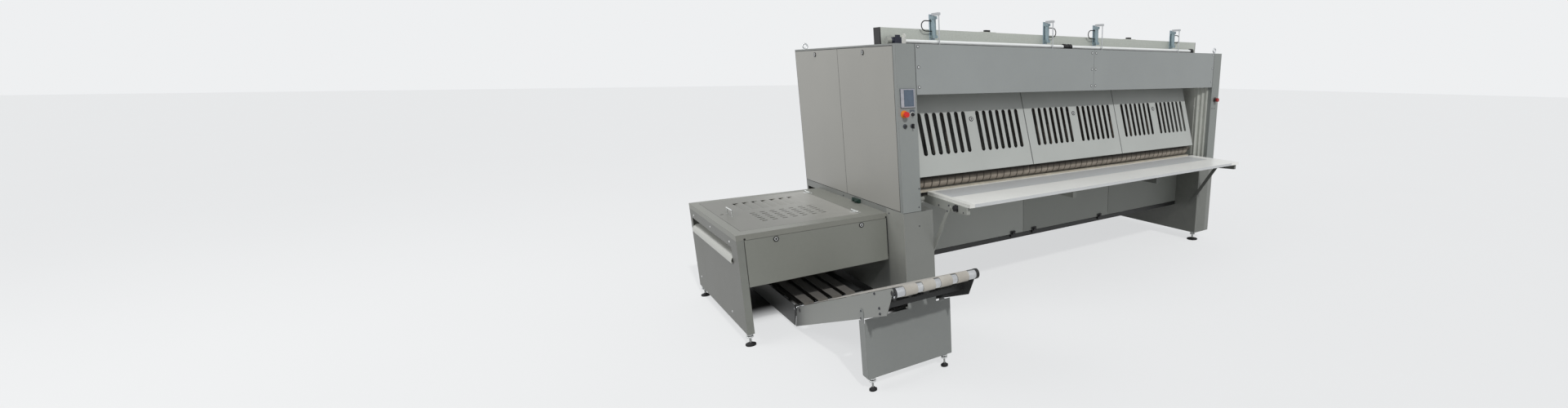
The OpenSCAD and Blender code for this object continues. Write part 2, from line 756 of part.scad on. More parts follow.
// Press bar of one lane with two pistons, crossheads and pull rods
piston_r = 6;
head_gap = 4;
head_t = 18;
press_over = 100;
module press_bar(xa, xb, x0, x1) {
  head_z = cyl_z + cyl_len + head_gap;
  beam_x(x0, x1, pull_y - press_s / 2, press_z, press_s, press_s);
  for (x = [xa, xb]) {
    bar_z(x, cyl_y, cyl_z + 20, head_z, piston_r);
    block([x - 11, pull_y - 9, head_z], [x + 11, cyl_y + 10, head_z + head_t]);
    bar_z(x, pull_y, press_z + press_s, head_z, pull_r);
  }
}
module left_press_bar() color(steel) place()
  press_bar(cyl_x[0], cyl_x[1], cyl_x[0] - press_over, middle_x - press_over);
module right_press_bar() color(steel) place()
  press_bar(cyl_x[2], cyl_x[3], middle_x + press_over, cyl_x[3] + press_over);

// Short air hoses, one loop at each cylinder, and two air valves on the beam's plates
hose_r = 4;
loop_r = 38;
loop_len = 50;
module air_hose(x, side) translate([x + side * (cyl_r + 0.3), cyl_y, cyl_z + 0.55 * cyl_len]) {
  for (s = [-1, 1]) translate([0, 0, s * loop_r]) rotate([0, side * 90, 0])
    cylinder(h = loop_len, r = hose_r, $fn = 24);
  translate([side * loop_len, 0, 0]) rotate([90, side * 90, 0])
    rotate_extrude(angle = 180, $fn = 48) translate([loop_r, 0]) circle(hose_r, $fn = 24);
}
module air_hoses() color(black) place() {
  air_hose(cyl_x[0], -1);
  air_hose(cyl_x[1], 1);
  air_hose(cyl_x[2], -1);
  air_hose(cyl_x[3], 1);
  for (x = valve_x)
    translate([x - valve_body[0] / 2, beam_y + 22, roof_z + beam_h + valve_plate[2]]) cube(valve_body);
}

// Cross shaft along the machine, with a coupling in its middle
shaft_x0 = 190;
mount_x = left_col_w + 50;
shaft_x1 = right_in + 30;
bearing_w = 6;
coupling_x = middle_x - 112;
hub_w = 36;
spider_w = 24;
module cross_shaft() color(steel) place() {
  bar_x(shaft_x0, shaft_x1, cross_y, cross_z, cross_r);
  for (x = [coupling_x - spider_w / 2 - hub_w, coupling_x + spider_w / 2])
    bar_x(x, x + hub_w, cross_y, cross_z, cross_r + 10);
  bar_x(coupling_x - spider_w / 2, coupling_x + spider_w / 2, cross_y, cross_z, cross_r + 6);
}

// Bearing plate at the left and bearing block on the right roof
mount_h = 60;
block_x0 = right_in + 5;
block_w = 40;
block_r = 26;
module shaft_mounts() color(white) place() {
  difference() {
    union() {
      block([mount_x, cross_y - 24, roof_z + 2], [mount_x + bearing_w, beam_y, roof_z + mount_h]);
      bar_x(mount_x, mount_x + bearing_w, cross_y, roof_z + mount_h - 2, 24);
      block([mount_x, beam_y - bearing_w, roof_z + 2], [mount_x + 35, beam_y, roof_z + mount_h]);
    }
    bar_x(mount_x - 1, mount_x + 1 + bearing_w, cross_y, cross_z, cross_r + fit_gap);
  }
  difference() {
    union() {
      block([block_x0, cross_y - block_r, roof_z], [block_x0 + block_w, cross_y + block_r, cross_z]);
      bar_x(block_x0, block_x0 + block_w, cross_y, cross_z, block_r);
    }
    bar_x(block_x0 - 1, shaft_x1 + 1, cross_y, cross_z, cross_r + fit_gap);
  }
}

// Gear motor that turns the cross shaft, on the left roof
motor_x = 116;
module shaft_motor() color(black) place() difference() {
  union() {
    block([motor_x, cross_y - 28, roof_z], [mount_x, cross_y + 28, cross_z + 28]);
    bar_x(motor_x - 52, motor_x, cross_y, cross_z + 2, 25);
    bar_z(motor_x + 40, cross_y, cross_z + 28, cross_z + 44, 19);
  }
  bar_x(shaft_x0 - 1, mount_x + 1, cross_y, cross_z, cross_r + fit_gap);
}

// Lifting eyes on the roofs
eye_wire = 7;
eye_in = 58;
eyes = [[eye_in + 20, rear_y - eye_in], [main_w - eye_in, rear_y - eye_in], [main_w - eye_in, eye_in]];
module lifting_eyes() color(chrome) place() for (e = eyes) translate([e[0], e[1], roof_z]) {
  cylinder(h = 6, r = 14);
  cylinder(h = 12, r = 8);
  translate([0, 0, 12 + eye_r]) rotate([90, 0, 0]) rotate_extrude($fn = 48)
    translate([eye_r, 0]) circle(eye_wire, $fn = 24);
}

// Operator panel and the black collars of the controls below it
module operator_panel() color(shade_paint) place() {
  body = [panel_w / 2 - panel_hole - 1, panel_h / 2 - panel_hole - 1];
  block([panel_x - panel_w / 2, -8, panel_z - panel_h / 2],
        [panel_x + panel_w / 2, 0, panel_z + panel_h / 2]);
  block([panel_x - body[0], 0, panel_z - body[1]], [panel_x + body[0], 32, panel_z + body[1]]);
  for (c = [[key_x, stop_z - 3], [start_x, start_z], [mode_x, start_z]]) difference() {
    union() {
      bar_y(c[0], -6, 0, c[1], shank_r + 4);
      bar_y(c[0], 0, 28, c[1], shank_r);
    }
    bar_y(c[0], -7, 29, c[1], stem_r + fit_gap);
  }
  difference() {
    block([key_x - 20, -1.5, stop_z + 6], [key_x + 20, 0, stop_z + 32]);
    bar_y(key_x, -2, 1, stop_z - 3, shank_r + 4);
  }
}

// Yellow bases of the two stop buttons
module stop_switch_bases() color(yellow) place() for (x = [stop_x, stop2_x]) difference() {
  union() {
    bar_y(x, -4, 0, stop_z, 28);
    bar_y(x, -20, -4, stop_z, 15);
    bar_y(x, 0, 28, stop_z, shank_r);
  }
  bar_y(x, -21, 29, stop_z, stem_r + fit_gap);
}
module stop_button(x) {
  bar_y(x, -45, -20 - stop_travel - 1, stop_z, stop_r);
  bar_y(x, -20 - stop_travel - 1, 20, stop_z, stem_r);
}
module left_stop_button() color(red) place() stop_button(stop_x);
module right_stop_button() color(red) place() stop_button(stop2_x);
module start_button() color(black) place() {
  bar_y(start_x, -14, -9.5, start_z, 11);
  bar_y(start_x, -9.5, 20, start_z, stem_r);
}
module mode_selector() color(black) place() {
  bar_y(mode_x, -10, -6.3, start_z, 12.5);
  block([mode_x - 4.5, -24, start_z - 17], [mode_x + 4.5, -10, start_z + 17]);
  bar_y(mode_x, -6.3, 20, start_z, stem_r);
}
module key_dial() color(black) place() {
  bar_y(key_x, -16, -6.3, stop_z - 3, 12);
  block([key_x - 2, -20, stop_z - 12], [key_x + 2, -16, stop_z + 6]);
  bar_y(key_x, -6.3, 20, stop_z - 3, stem_r);
}

// Levelling feet: four under the pedestals, two under the stacker, two under the stand
module foot(x, y, r, stud_r, top) translate([x, y, 0]) {
  cylinder(h = 10, r = r);
  translate([0, 0, 10]) cylinder(h = 14, r1 = r * 0.8, r2 = stud_r + 3);
  cylinder(h = top, r = stud_r);
  translate([0, 0, top - 14]) cylinder(h = 10, r = stud_r * 1.8, $fn = 6);
}
module levelling_feet() color(black) place() {
  for (x = [ped_w - foot_in_x, right_in + foot_in_x], y = [foot_in_y, rear_y - foot_in_y])
    foot(x, y, foot_r, 10, floor_gap);
  for (y = [side_y + 40, side_y1 - 40]) foot(side_x0 + 24, y, side_foot_r, 8, floor_gap);
  for (x = [stand_x0 + 40, stand_x0 + stand_w - 40]) foot(x, stand_foot_y, stand_foot_r, 6, floor_gap);
}

// Dark green connector on the machine's left face, above the stacker
plug_y = [738, 862];
plug_out = 24;
gland_y = 760;
gland_r = 12;
gland_len = 20;
cap_y = 838;
cable_r = 6.5;
module side_connector() color(green) place() {
  z = side_h + 18;
  block([-plug_out, plug_y[0], side_h + 4], [0, plug_y[1], ped_top - 6]);
  difference() {
    bar_x(-plug_out - gland_len, -plug_out, gland_y, z, gland_r);
    bar_x(-plug_out - gland_len - 1, -plug_out, gland_y, z, cable_r);
  }
  bar_x(-plug_out - 8, -plug_out, cap_y, z, gland_r);
}

// Stacker frame: top ring with the lid's opening, rear panel and two posts
lid_x0 = side_x0 + lid_inset;
lid_x1 = -lid_hinge_x;
lid_y0 = side_y + lid_front;
lid_back = 80;
lid_y1 = side_y1 - lid_back;
ring_w = 20;
ring_h = 19;
corner_d = 44;
hinge_in = 90;
knuckle_len = 36;
hinge_y = [lid_y0 + hinge_in, lid_y1 - hinge_in];
lid_hinge_z = side_h + lid_pin_r + 3.4;
module stacker_frame() color(paint) place() {
  difference() {
    block([side_x0, side_y, rim_z], [0, side_y1, side_h]);
    block([side_x0 + sheet, side_y + sheet, rim_z - 1], [-sheet, side_y1 - sheet, side_h - sheet]);
    block([lid_x0, lid_y0, side_h - sheet - 1], [lid_x1, lid_y1, side_h + 1]);
  }
  difference() {
    block([lid_x0 - ring_w, lid_y0 - ring_w, side_h - ring_h],
          [lid_x1 + ring_w, lid_y1 + ring_w, side_h - sheet]);
    block([lid_x0, lid_y0, side_h - ring_h - 1], [lid_x1, lid_y1, side_h]);
  }
  block([side_x0 + post_w, side_y1 - sheet, floor_gap], [0, side_y1, rim_z]);
  for (y = [side_y + sheet, side_y1 - sheet - corner_d])
    block([side_x0 + sheet, y, floor_gap],
          [side_x0 + post_w - sheet, y + corner_d, side_h - sheet]);
  for (y = hinge_y) {
    bar_y(lid_x1, y - 60, y + 60, lid_hinge_z, lid_pin_r);
    for (y0 = [y - 60, y + 60 - knuckle_len]) {
      bar_y(lid_x1, y0, y0 + knuckle_len, lid_hinge_z, lid_pin_r + 3);
      block([lid_x1 + 1, y0, side_h], [lid_x1 + 26, y0 + knuckle_len, side_h + 3]);
    }
  }
  bar_x(side_x0 + post_w - sheet, side_x0 + post_w + 12, tilt_y, tilt_z, tilt_r);
  bar_x(-22, 0, tilt_y, tilt_z, tilt_r);
}

// Left side panel with its front and rear returns and the output slot
slot_y0 = side_y + 152;
slot_y1 = side_y1 - 66;
module stacker_side_panel() color(paint) place() difference() {
  block([side_x0, side_y, floor_gap], [side_x0 + post_w, side_y1, rim_z]);
  block([side_x0 + sheet, side_y + sheet, floor_gap - 1], [side_x0 + post_w + 1, side_y1 - sheet, rim_z + 1]);
  block([side_x0 - 1, slot_y0, output_z], [side_x0 + sheet + 1, slot_y1, output_z + output_h]);
}

// Curved lip of the output slot and the slide behind it
slide_z = output_z + lip_r;
slide_d = 150;
slide_drop = 22;
lip_gap = 0.4;
lip_fold_z = output_z - 9;
module output_lip() color(paint) place() {
  x = side_x0 + lip_r - lip_out;
  y0 = slot_y0 + lip_gap;
  y1 = slot_y1 - lip_gap;
  difference() {
    bar_y(x, y0, y1, output_z + 3, lip_r);
    bar_y(x, y0 - 1, y1 + 1, output_z + 3, lip_r - sheet);
    block([x, y0 - 1, output_z - lip_r - 9], [x + lip_r + 9, y1 + 1, slide_z + 9]);
    block([x - lip_r - 9, y0 - 1, output_z - lip_r - 9], [x + lip_r + 9, y1 + 1, output_z + 3]);
  }
  block([x - lip_r, y0, lip_fold_z], [x - lip_r + sheet, y1, output_z + 3]);
  block([x - lip_r, y0, lip_fold_z], [side_x0, y1, lip_fold_z + sheet]);
  translate([x, 0, slide_z]) rotate([90, 0, 0]) translate([0, 0, -y1])
    linear_extrude(y1 - y0)
      polygon([[0, 0], [slide_d, slide_drop], [slide_d, slide_drop + sheet], [0, sheet]]);
}

// Guide columns of the lift table, between the top ring and two blocks on the rear panel
guide_in = 150;
guide_off = 40;
guide_x = [conv_x0 + guide_in, conv_x1 - guide_in];
guide_y = side_y1 - sheet - guide_off;
guide_foot = 14;
guide_block = 24;
module stacker_guides() color(chrome) place() for (x = guide_x) {
  bar_z(x, guide_y, floor_gap + guide_foot, side_h - sheet, guide_r);
  block([x - guide_block, guide_y - guide_block, floor_gap],
        [x + guide_block, side_y1 - sheet, floor_gap + guide_foot]);
}

// Lift table: side plates, cross bars and the carriage on the guide columns
lift_low = 25;
lift_top = lift_z - 3;
lift_end_in = 97;
lift_end_y = side_y1 - lift_end_in;
lift_bar = 40;
lift_bar_in = [160, 120];
carriage_z = floor_gap + guide_foot + 3;
carriage_w = 28;
carriage_t = 6;
roller_axle_r = 10;
module lift_plate(x) translate([x, 0, 0]) rotate([90, 0, 90]) linear_extrude(sheet) difference() {
  polygon([[lift_front_y - 43, lift_top], [lift_front_y + 24, lift_low], [lift_end_y, lift_low],
           [lift_end_y, lift_top]]);
  for (y = [lift_front_y, lift_rear_y]) translate([y, lift_axis_z]) circle(roller_axle_r + fit_gap);
}
module lift_table() color(shade_paint) place() {
  lift_plate(conv_x0);
  lift_plate(conv_x1 - sheet);
  for (y = [lift_front_y + lift_bar_in[0], (lift_front_y + lift_rear_y) / 2,
            lift_rear_y - lift_bar_in[1]])
    block([conv_x0 + sheet, y, lift_low + 20],
          [conv_x1 - sheet, y + lift_bar, lift_low + 20 + lift_bar]);
  block([conv_x0, lift_end_y, lift_low], [conv_x1, lift_end_y + carriage_t, lift_top]);
  for (x = guide_x) difference() {
    block([x - carriage_w, lift_end_y + carriage_t, carriage_z],
          [x + carriage_w, guide_y + 22, lift_top]);
    bar_z(x, guide_y, carriage_z - 1, lift_z, guide_r + fit_gap);
  }
}
module wide_belts(y, z, run, angle) for (i = [0:3])
  belt_loop(wide_first + i * wide_pitch, wide_belt_w, y, z, run, angle, roller_r + belt_gap);
module lift_belts() color(belt_colour) place()
  wide_belts(lift_front_y, lift_axis_z, lift_rear_y - lift_front_y, 0);

// Chrome roller with end axles, held between two side plates
roller_gap = 3;
module chrome_roller(y, z) {
  bar_x(conv_x0 + sheet + roller_gap, conv_x1 - sheet - roller_gap, y, z, roller_r);
  bar_x(conv_x0 - 1, conv_x1 + 1, y, z, roller_axle_r);
}
module lift_front_roller() color(chrome) place() chrome_roller(lift_front_y, lift_axis_z);
module lift_rear_roller() color(chrome) place() chrome_roller(lift_rear_y, lift_axis_z);
module incline_front_roller() color(chrome) place() chrome_roller(front_y, front_z);
module incline_tail_roller() color(chrome) place() chrome_roller(tail_y, tail_z);

// Delivery conveyor: side plates and cross bars, in a frame along its slope from the tail roller
module incline_place() translate([0, tail_y, tail_z]) rotate([180 - incline, 0, 0])
  mirror([0, 0, 1]) children();
plate_top = wide_r - 2;
plate_low = plate_top - plate_h;
corner_r = 16;
nose = 4;
nose_cut = 128;
bar_first = 120;
bar_last = 206;
bar_z0 = -80;
tray_end = 480;
module incline_plate(x) translate([x, 0, 0]) rotate([90, 0, 90]) linear_extrude(sheet) difference() {
  union() {
    polygon([[-45, plate_top], [-170, plate_low], [incline_run - nose_cut, plate_low],
             [incline_run + nose + corner_r, plate_top - corner_r], [incline_run + nose, plate_top]]);
    translate([incline_run + nose, plate_top - corner_r]) circle(corner_r);
  }
  for (s = [0, incline_run]) translate([s, 0]) circle(roller_axle_r + fit_gap);
}
module incline_frame() color(paint) place() incline_place() {
  incline_plate(conv_x0);
  incline_plate(conv_x1 - sheet);
  for (i = [0:3]) {
    s = bar_first + i * (incline_run - bar_last - bar_first) / 3;
    block([conv_x0 + sheet, s, bar_z0], [conv_x1 - sheet, s + 30, bar_z0 + 30]);
  }
  block([conv_x1, bar_first - 10, bar_z0 - 20], [0, bar_first + 30, bar_z0 + 20]);
  block([conv_x0 + sheet, bar_first / 2, plate_low + 1],
        [conv_x1 - sheet, incline_run - tray_end, plate_low + 3]);
}
module incline_belts() color(belt_colour) place()
  wide_belts(tail_y, tail_z, incline_run, 180 - incline);

// Stand under the delivery conveyor
stand_x0 = conv_x0 - sheet;
stand_foot_y = stand_d / 2 - 8 - stand_out;
tab_x = [290, 493];
tab_z = 520;
ear_y = 34;
ear_top = 548;
ear_r = 24;
ear_low = 40;
stand_rim = 25;
module stand_ear(x, t) translate([x, 0, 0]) rotate([90, 0, 90]) linear_extrude(t) {
  translate([ear_y - stand_out, ear_top - ear_r]) circle(ear_r);
  translate([ear_y - ear_r - stand_out, stand_h - ear_low])
    square([2 * ear_r, ear_top - ear_r - stand_h + ear_low]);
}
module delivery_stand() color(paint) place() {
  x1 = stand_x0 + stand_w;
  difference() {
    block([stand_x0, -stand_out, floor_gap], [x1, stand_d - stand_out, stand_h - stand_rim]);
    block([stand_x0 + sheet, sheet - stand_out, floor_gap + sheet],
          [x1 - sheet, stand_d - stand_out + 1, stand_h]);
  }
  block([stand_x0 + sheet, -stand_out, stand_h - stand_rim], [x1, sheet - stand_out, stand_h]);
  block([stand_x0 + tab_x[0], -stand_out, stand_h], [stand_x0 + tab_x[1], sheet - stand_out, tab_z]);
  stand_ear(stand_x0, sheet);
  stand_ear(conv_x1, sheet);
  block([conv_x1, ear_y - ear_r - stand_out, stand_h - ear_low - 20],
        [x1 - sheet, ear_y + ear_r - stand_out, stand_h - ear_low]);
}

// Side doors: folded trays with a lock at the top, tilting out about their lower edge
door_z0 = ped_top + sheet + door_gap;
door_z1 = roof_z - 13 - door_gap;
module side_door(y0, y1) {
  difference() {
    block([0, y0, door_z0], [door_t, y1, door_z1]);
    block([2, y0 + 2, door_z0 + 2], [door_t + 1, y1 - 2, door_z1 - 2]);
    bar_y(hinge_x, y0 - 1, y1 + 1, door_hinge_z, door_pin_r + fit_gap);
  }
  lock_x(0, (y0 + y1) / 2, door_z1 - lock_drop);
}
module side_door_front() color(paint) place()
  side_door(left_col_d + sheet + door_gap, door_mid_y - door_gap / 2);
module side_door_rear() color(paint) place()
  side_door(door_mid_y + door_gap / 2, rear_y - sheet - door_gap);

// Slotted guard number i of three, hanging from the hinge rod
guard_t = 2.5;
guard_face = 14;
guard_fold = 12;
knuckle_r = 12;
knuckle_w = 60;
guard_head = 13;
knuckle_in = 80;
slot_start = 106;
lock_along = 261;
module guard(i) translate([guard_x + i * guard_pitch, guard_hinge_y, guard_hinge_z])
  rotate([-guard_tilt, 0, 0]) {
    inner = guard_t - guard_face;
    knuckles = [knuckle_in, guard_w - knuckle_in - knuckle_w];
    difference() {
      union() {
        block([0, -guard_face, -guard_len], [guard_w, inner, -guard_head]);
        for (x = [0, guard_w - guard_t])
          block([x, inner, -guard_len], [x + guard_t, inner + guard_fold, -2 * guard_head]);
        block([0, inner, -guard_len], [guard_w, inner + guard_fold, guard_t - guard_len]);
        for (x = knuckles) {
          bar_x(x, x + knuckle_w, 0, 0, knuckle_r);
          block([x, -guard_face, -2 * guard_head], [x + knuckle_w, 0, -9]);
        }
      }
      for (h = [0, 1], k = [0:slots - 1]) guard_slot(slot_start + h * half_pitch + k * slot_pitch);
      for (x = knuckles) bar_x(x - 1, x + knuckle_w + 1, 0, 0, guard_rod_r + fit_gap);
    }
    lock_y(guard_w / 2 + 10, -guard_face, -lock_along);
  }
module guard_slot(x) {
  half = (slot_len - slot_w) / 2;
  block([x - slot_w / 2, -guard_face - 1, -slot_drop - half],
        [x + slot_w / 2, guard_t - guard_face + 1, half - slot_drop]);
  for (s = [-1, 1])
    bar_y(x, -guard_face - 1, guard_t - guard_face + 1, s * half - slot_drop, slot_w / 2);
}
module guard_left() color(paint) place() guard(0);
module guard_middle() color(paint) place() guard(1);
module guard_right() color(paint) place() guard(2);

// Long belt rollers with their shafts in the inner walls of the housings
roller_wall = 6;
web = 12;
shaft_in = 8;
module long_roller(y, z, r) {
  inner = r - roller_wall;
  difference() {
    bar_x(infeed_x0, infeed_x1, y, z, r);
    bar_x(infeed_x0 + web, infeed_x1 - web, y, z, inner);
    for (a = [0:90:270]) translate([0, y, z]) rotate([a, 0, 0])
      bar_x(infeed_x0 - 1, infeed_x1 + 1, 0, (inner + shaft_r) / 2, (inner - shaft_r) / 2 - 4);
  }
  bar_x(left_col_w - sheet - shaft_in, right_in + sheet + shaft_in, y, z, shaft_r);
}
module infeed_roller() color(steel) place() long_roller(infeed_y, infeed_z, belt_roller_r);
module rear_roller() color(steel) place() long_roller(infeed_y + infeed_run, infeed_z, belt_roller_r);
module fold_roller() color(steel) place() long_roller(fold_top_y, fold_top_z, fold_roller_r);

// Stacker lid with a slotted field, a louvred field, a handle and its hinge knuckles
grid_place = [240, 232];
grid_step = [75.5, 62];
hole = [38, 18];
louvre_y = 685;
louvre_len = 325;
louvre_w = 54;
louvre_gap = 12;
slat_drop = 12;
lid_gap = 2;
lid_fold = 16;
lid_fold_t = 2;
lid_free = 40;
lock_hole = [30, 625];
lock_size = [22, 20];
handle_x = 82;
handle_y = [505, 645];
handle_h = 48;
module lid_slat(x) translate([x, lid_y0 + louvre_y + louvre_len, side_h]) rotate([90, 0, 0])
  linear_extrude(louvre_len)
    polygon([[louvre_gap, -slat_drop], [louvre_w, 0], [louvre_w, -lid_fold_t],
             [louvre_gap, -slat_drop - lid_fold_t]]);
module stacker_lid() color(paint) place() {
  gx = lid_x0 + grid_place[0];
  gy = lid_y0 + grid_place[1];
  low = [lid_x0 + lid_gap, lid_y0 + lid_gap];
  high = [lid_x1 - lid_gap, lid_y1 - lid_gap];
  lid_under = side_h - sheet - 1;
  difference() {
    union() {
      block([low[0], low[1], side_h - sheet], [high[0], high[1], side_h]);
      difference() {
        block([low[0], low[1], side_h - lid_fold], [lid_x1 - lid_free, high[1], side_h - sheet]);
        block([low[0] + lid_fold_t, low[1] + lid_fold_t, side_h - lid_fold - 1],
              [lid_x1 - lid_free + 1, high[1] - lid_fold_t, side_h]);
      }
    }
    for (i = [0:6], k = [0:5])
      translate([gx + i * grid_step[0] - hole[0] / 2, gy + k * grid_step[1] - hole[1] / 2, lid_under])
        cube([hole[0], hole[1], sheet + 2]);
    for (i = [0:6])
      translate([gx + i * grid_step[0] - louvre_w / 2, lid_y0 + louvre_y, lid_under])
        cube([louvre_w, louvre_len, sheet + 2]);
    translate([lid_x0 + lock_hole[0], lid_y0 + lock_hole[1], lid_under])
      cube([lock_size[0], lock_size[1], sheet + 2]);
  }
  for (i = [0:6]) lid_slat(gx + i * grid_step[0] - louvre_w / 2);
  for (y = handle_y) bar_z(lid_x0 + handle_x, lid_y0 + y, side_h, side_h + handle_h, 5);
  bar_y(lid_x0 + handle_x, lid_y0 + handle_y[0] - 7, lid_y0 + handle_y[1] + 7, side_h + handle_h, 6);
  for (y = hinge_y) difference() {
    union() {
      bar_y(lid_x1, y - 22, y + 22, lid_hinge_z, lid_pin_r + 3);
      block([lid_x1 - 34, y - 22, side_h], [lid_x1 - 1, y + 22, side_h + 3]);
    }
    bar_y(lid_x1, y - 23, y + 23, lid_hinge_z, lid_pin_r + fit_gap);
  }
}

// Stacker front panel, tilting out about two pins at its lower corners
tilt_y = side_y + 12;
tilt_z = front_panel_z + 12;
tilt_r = 5;
ear_t = 4;
fp_x0 = side_x0 + post_w + 4;
fp_x1 = -8;
fp_lock = 210;
module stacker_front_panel() color(paint) place() {
  difference() {
    union() {
      block([fp_x0, side_y, front_panel_z], [fp_x1, side_y + panel_t, rim_z - 2]);
      for (x = [fp_x0, fp_x1 - ear_t])
        block([x, side_y + panel_t, front_panel_z + 2], [x + ear_t, side_y + 22, rim_z - 4]);
      block([fp_x0, side_y + panel_t, rim_z - 2 - panel_t], [fp_x1, side_y + panel_fold, rim_z - 2]);
    }
    for (x = [fp_x0, fp_x1 - ear_t])
      bar_x(x - 1, x + ear_t + 1, tilt_y, tilt_z, tilt_r + fit_gap);
  }
  for (x = [fp_x0 + fp_lock, fp_x1 - fp_lock]) lock_y(x, side_y, rim_z - 23);
}

left_housing();
left_column();
left_pedestal();
right_housing();
right_column();
right_pedestal();
fascia_panels();
outer_covers();
cross_frame();
hinge_rods();
infeed_belts();
fold_belts();
nosing_strip();
table_tray();
table_board();
table_arms();
lower_panel_right();
top_beam();
lift_cylinders();
air_hoses();
shaft_mounts();
shaft_motor();
lifting_eyes();
operator_panel();
stop_switch_bases();
levelling_feet();
side_connector();
stacker_frame();
stacker_side_panel();
output_lip();
stacker_guides();
incline_frame();
incline_belts();
delivery_stand();
side_door_front();
side_door_rear();
guard_left();
guard_middle();
guard_right();
infeed_roller();
rear_roller();
fold_roller();
lower_panel_left();
lower_panel_middle();
left_press_bar();
right_press_bar();
cross_shaft();
left_stop_button();
right_stop_button();
start_button();
mode_selector();
key_dial();
stacker_lid();
stacker_front_panel();
lift_table();
lift_belts();
lift_front_roller();
lift_rear_roller();
incline_front_roller();
incline_tail_roller();
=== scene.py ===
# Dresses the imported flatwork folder: paints, metals, belts, fasteners and small fittings.
# Places are given in millimetres from the machine's own corner: x = 0 is the left face of
# the machine, y = 0 the front face of its columns and z = 0 the floor.
import math
import bpy
import bmesh
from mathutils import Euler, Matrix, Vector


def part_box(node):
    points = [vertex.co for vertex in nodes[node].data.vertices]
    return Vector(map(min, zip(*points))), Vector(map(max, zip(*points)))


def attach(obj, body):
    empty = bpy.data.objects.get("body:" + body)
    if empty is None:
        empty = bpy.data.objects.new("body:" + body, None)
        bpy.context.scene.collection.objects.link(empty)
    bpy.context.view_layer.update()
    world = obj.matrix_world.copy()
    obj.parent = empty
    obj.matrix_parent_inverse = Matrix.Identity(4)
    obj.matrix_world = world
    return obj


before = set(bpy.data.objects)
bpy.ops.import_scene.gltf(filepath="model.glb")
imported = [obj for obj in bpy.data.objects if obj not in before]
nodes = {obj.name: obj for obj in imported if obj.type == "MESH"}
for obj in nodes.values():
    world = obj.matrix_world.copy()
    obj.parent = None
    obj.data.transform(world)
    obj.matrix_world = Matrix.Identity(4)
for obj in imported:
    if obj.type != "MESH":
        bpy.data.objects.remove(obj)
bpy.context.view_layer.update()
MM = 0.001
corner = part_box("left_column")[0]


def at(x, y, z):
    """A place in the machine's millimetres as a point of the row frame in metres."""
    return Vector((corner[0] + x * MM, corner[1] + y * MM, z * MM))


def span(node):
    """Lowest and highest corner of a CAD node in the machine's millimetres."""
    low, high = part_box(node)
    return [Vector(((p[0] - corner[0]) / MM, (p[1] - corner[1]) / MM, p[2] / MM)) for p in (low, high)]


def linear(r, g, b):
    """Shader colour of a colour read as 0 to 255."""
    out = []
    for c in (r, g, b):
        c = c / 255
        out.append(c / 12.92 if c <= 0.04045 else ((c + 0.055) / 1.055) ** 2.4)
    return (*out, 1.0)


def shade(colour, k):
    """A colour made darker or lighter by a factor."""
    return (colour[0] * k, colour[1] * k, colour[2] * k, 1.0)


# Sizes that several fittings share, from the frame where it has them

fascia = span("fascia_panels")
right_in = span("right_pedestal")[0].x
main_w = span("right_pedestal")[1].x
middle_x = main_w / 2
roof = fascia[1].z
ped_top = span("left_pedestal")[1].z
side_x0 = span("stacker_frame")[0].x
side_y = span("stacker_side_panel")[0].y
front_panel = span("stacker_front_panel")
GUARDS = ("guard_left", "guard_middle", "guard_right")
guard_box = [span(name) for name in GUARDS]

# A bound beyond the whole machine, the seam between covers and the depth that a face's own finish reaches
FAR = 1e6
SEAM = 4.0
SKIN = 1.5

# The guards' tilt, their hinge and how far their face stands before it
GUARD_TILT = math.radians(17.2)
HINGE_Y, HINGE_Z = 249.4, 1771.0
GUARD_FACE = 14.0

# The stacker's lid: its top, its opening's right edge, the gap round it and where handle and hinges start
LID_TOP = 823.0
LID_X1 = -175.0
LID_GAP = 2.0
HARDWARE_Z = LID_TOP + 0.3


# Materials

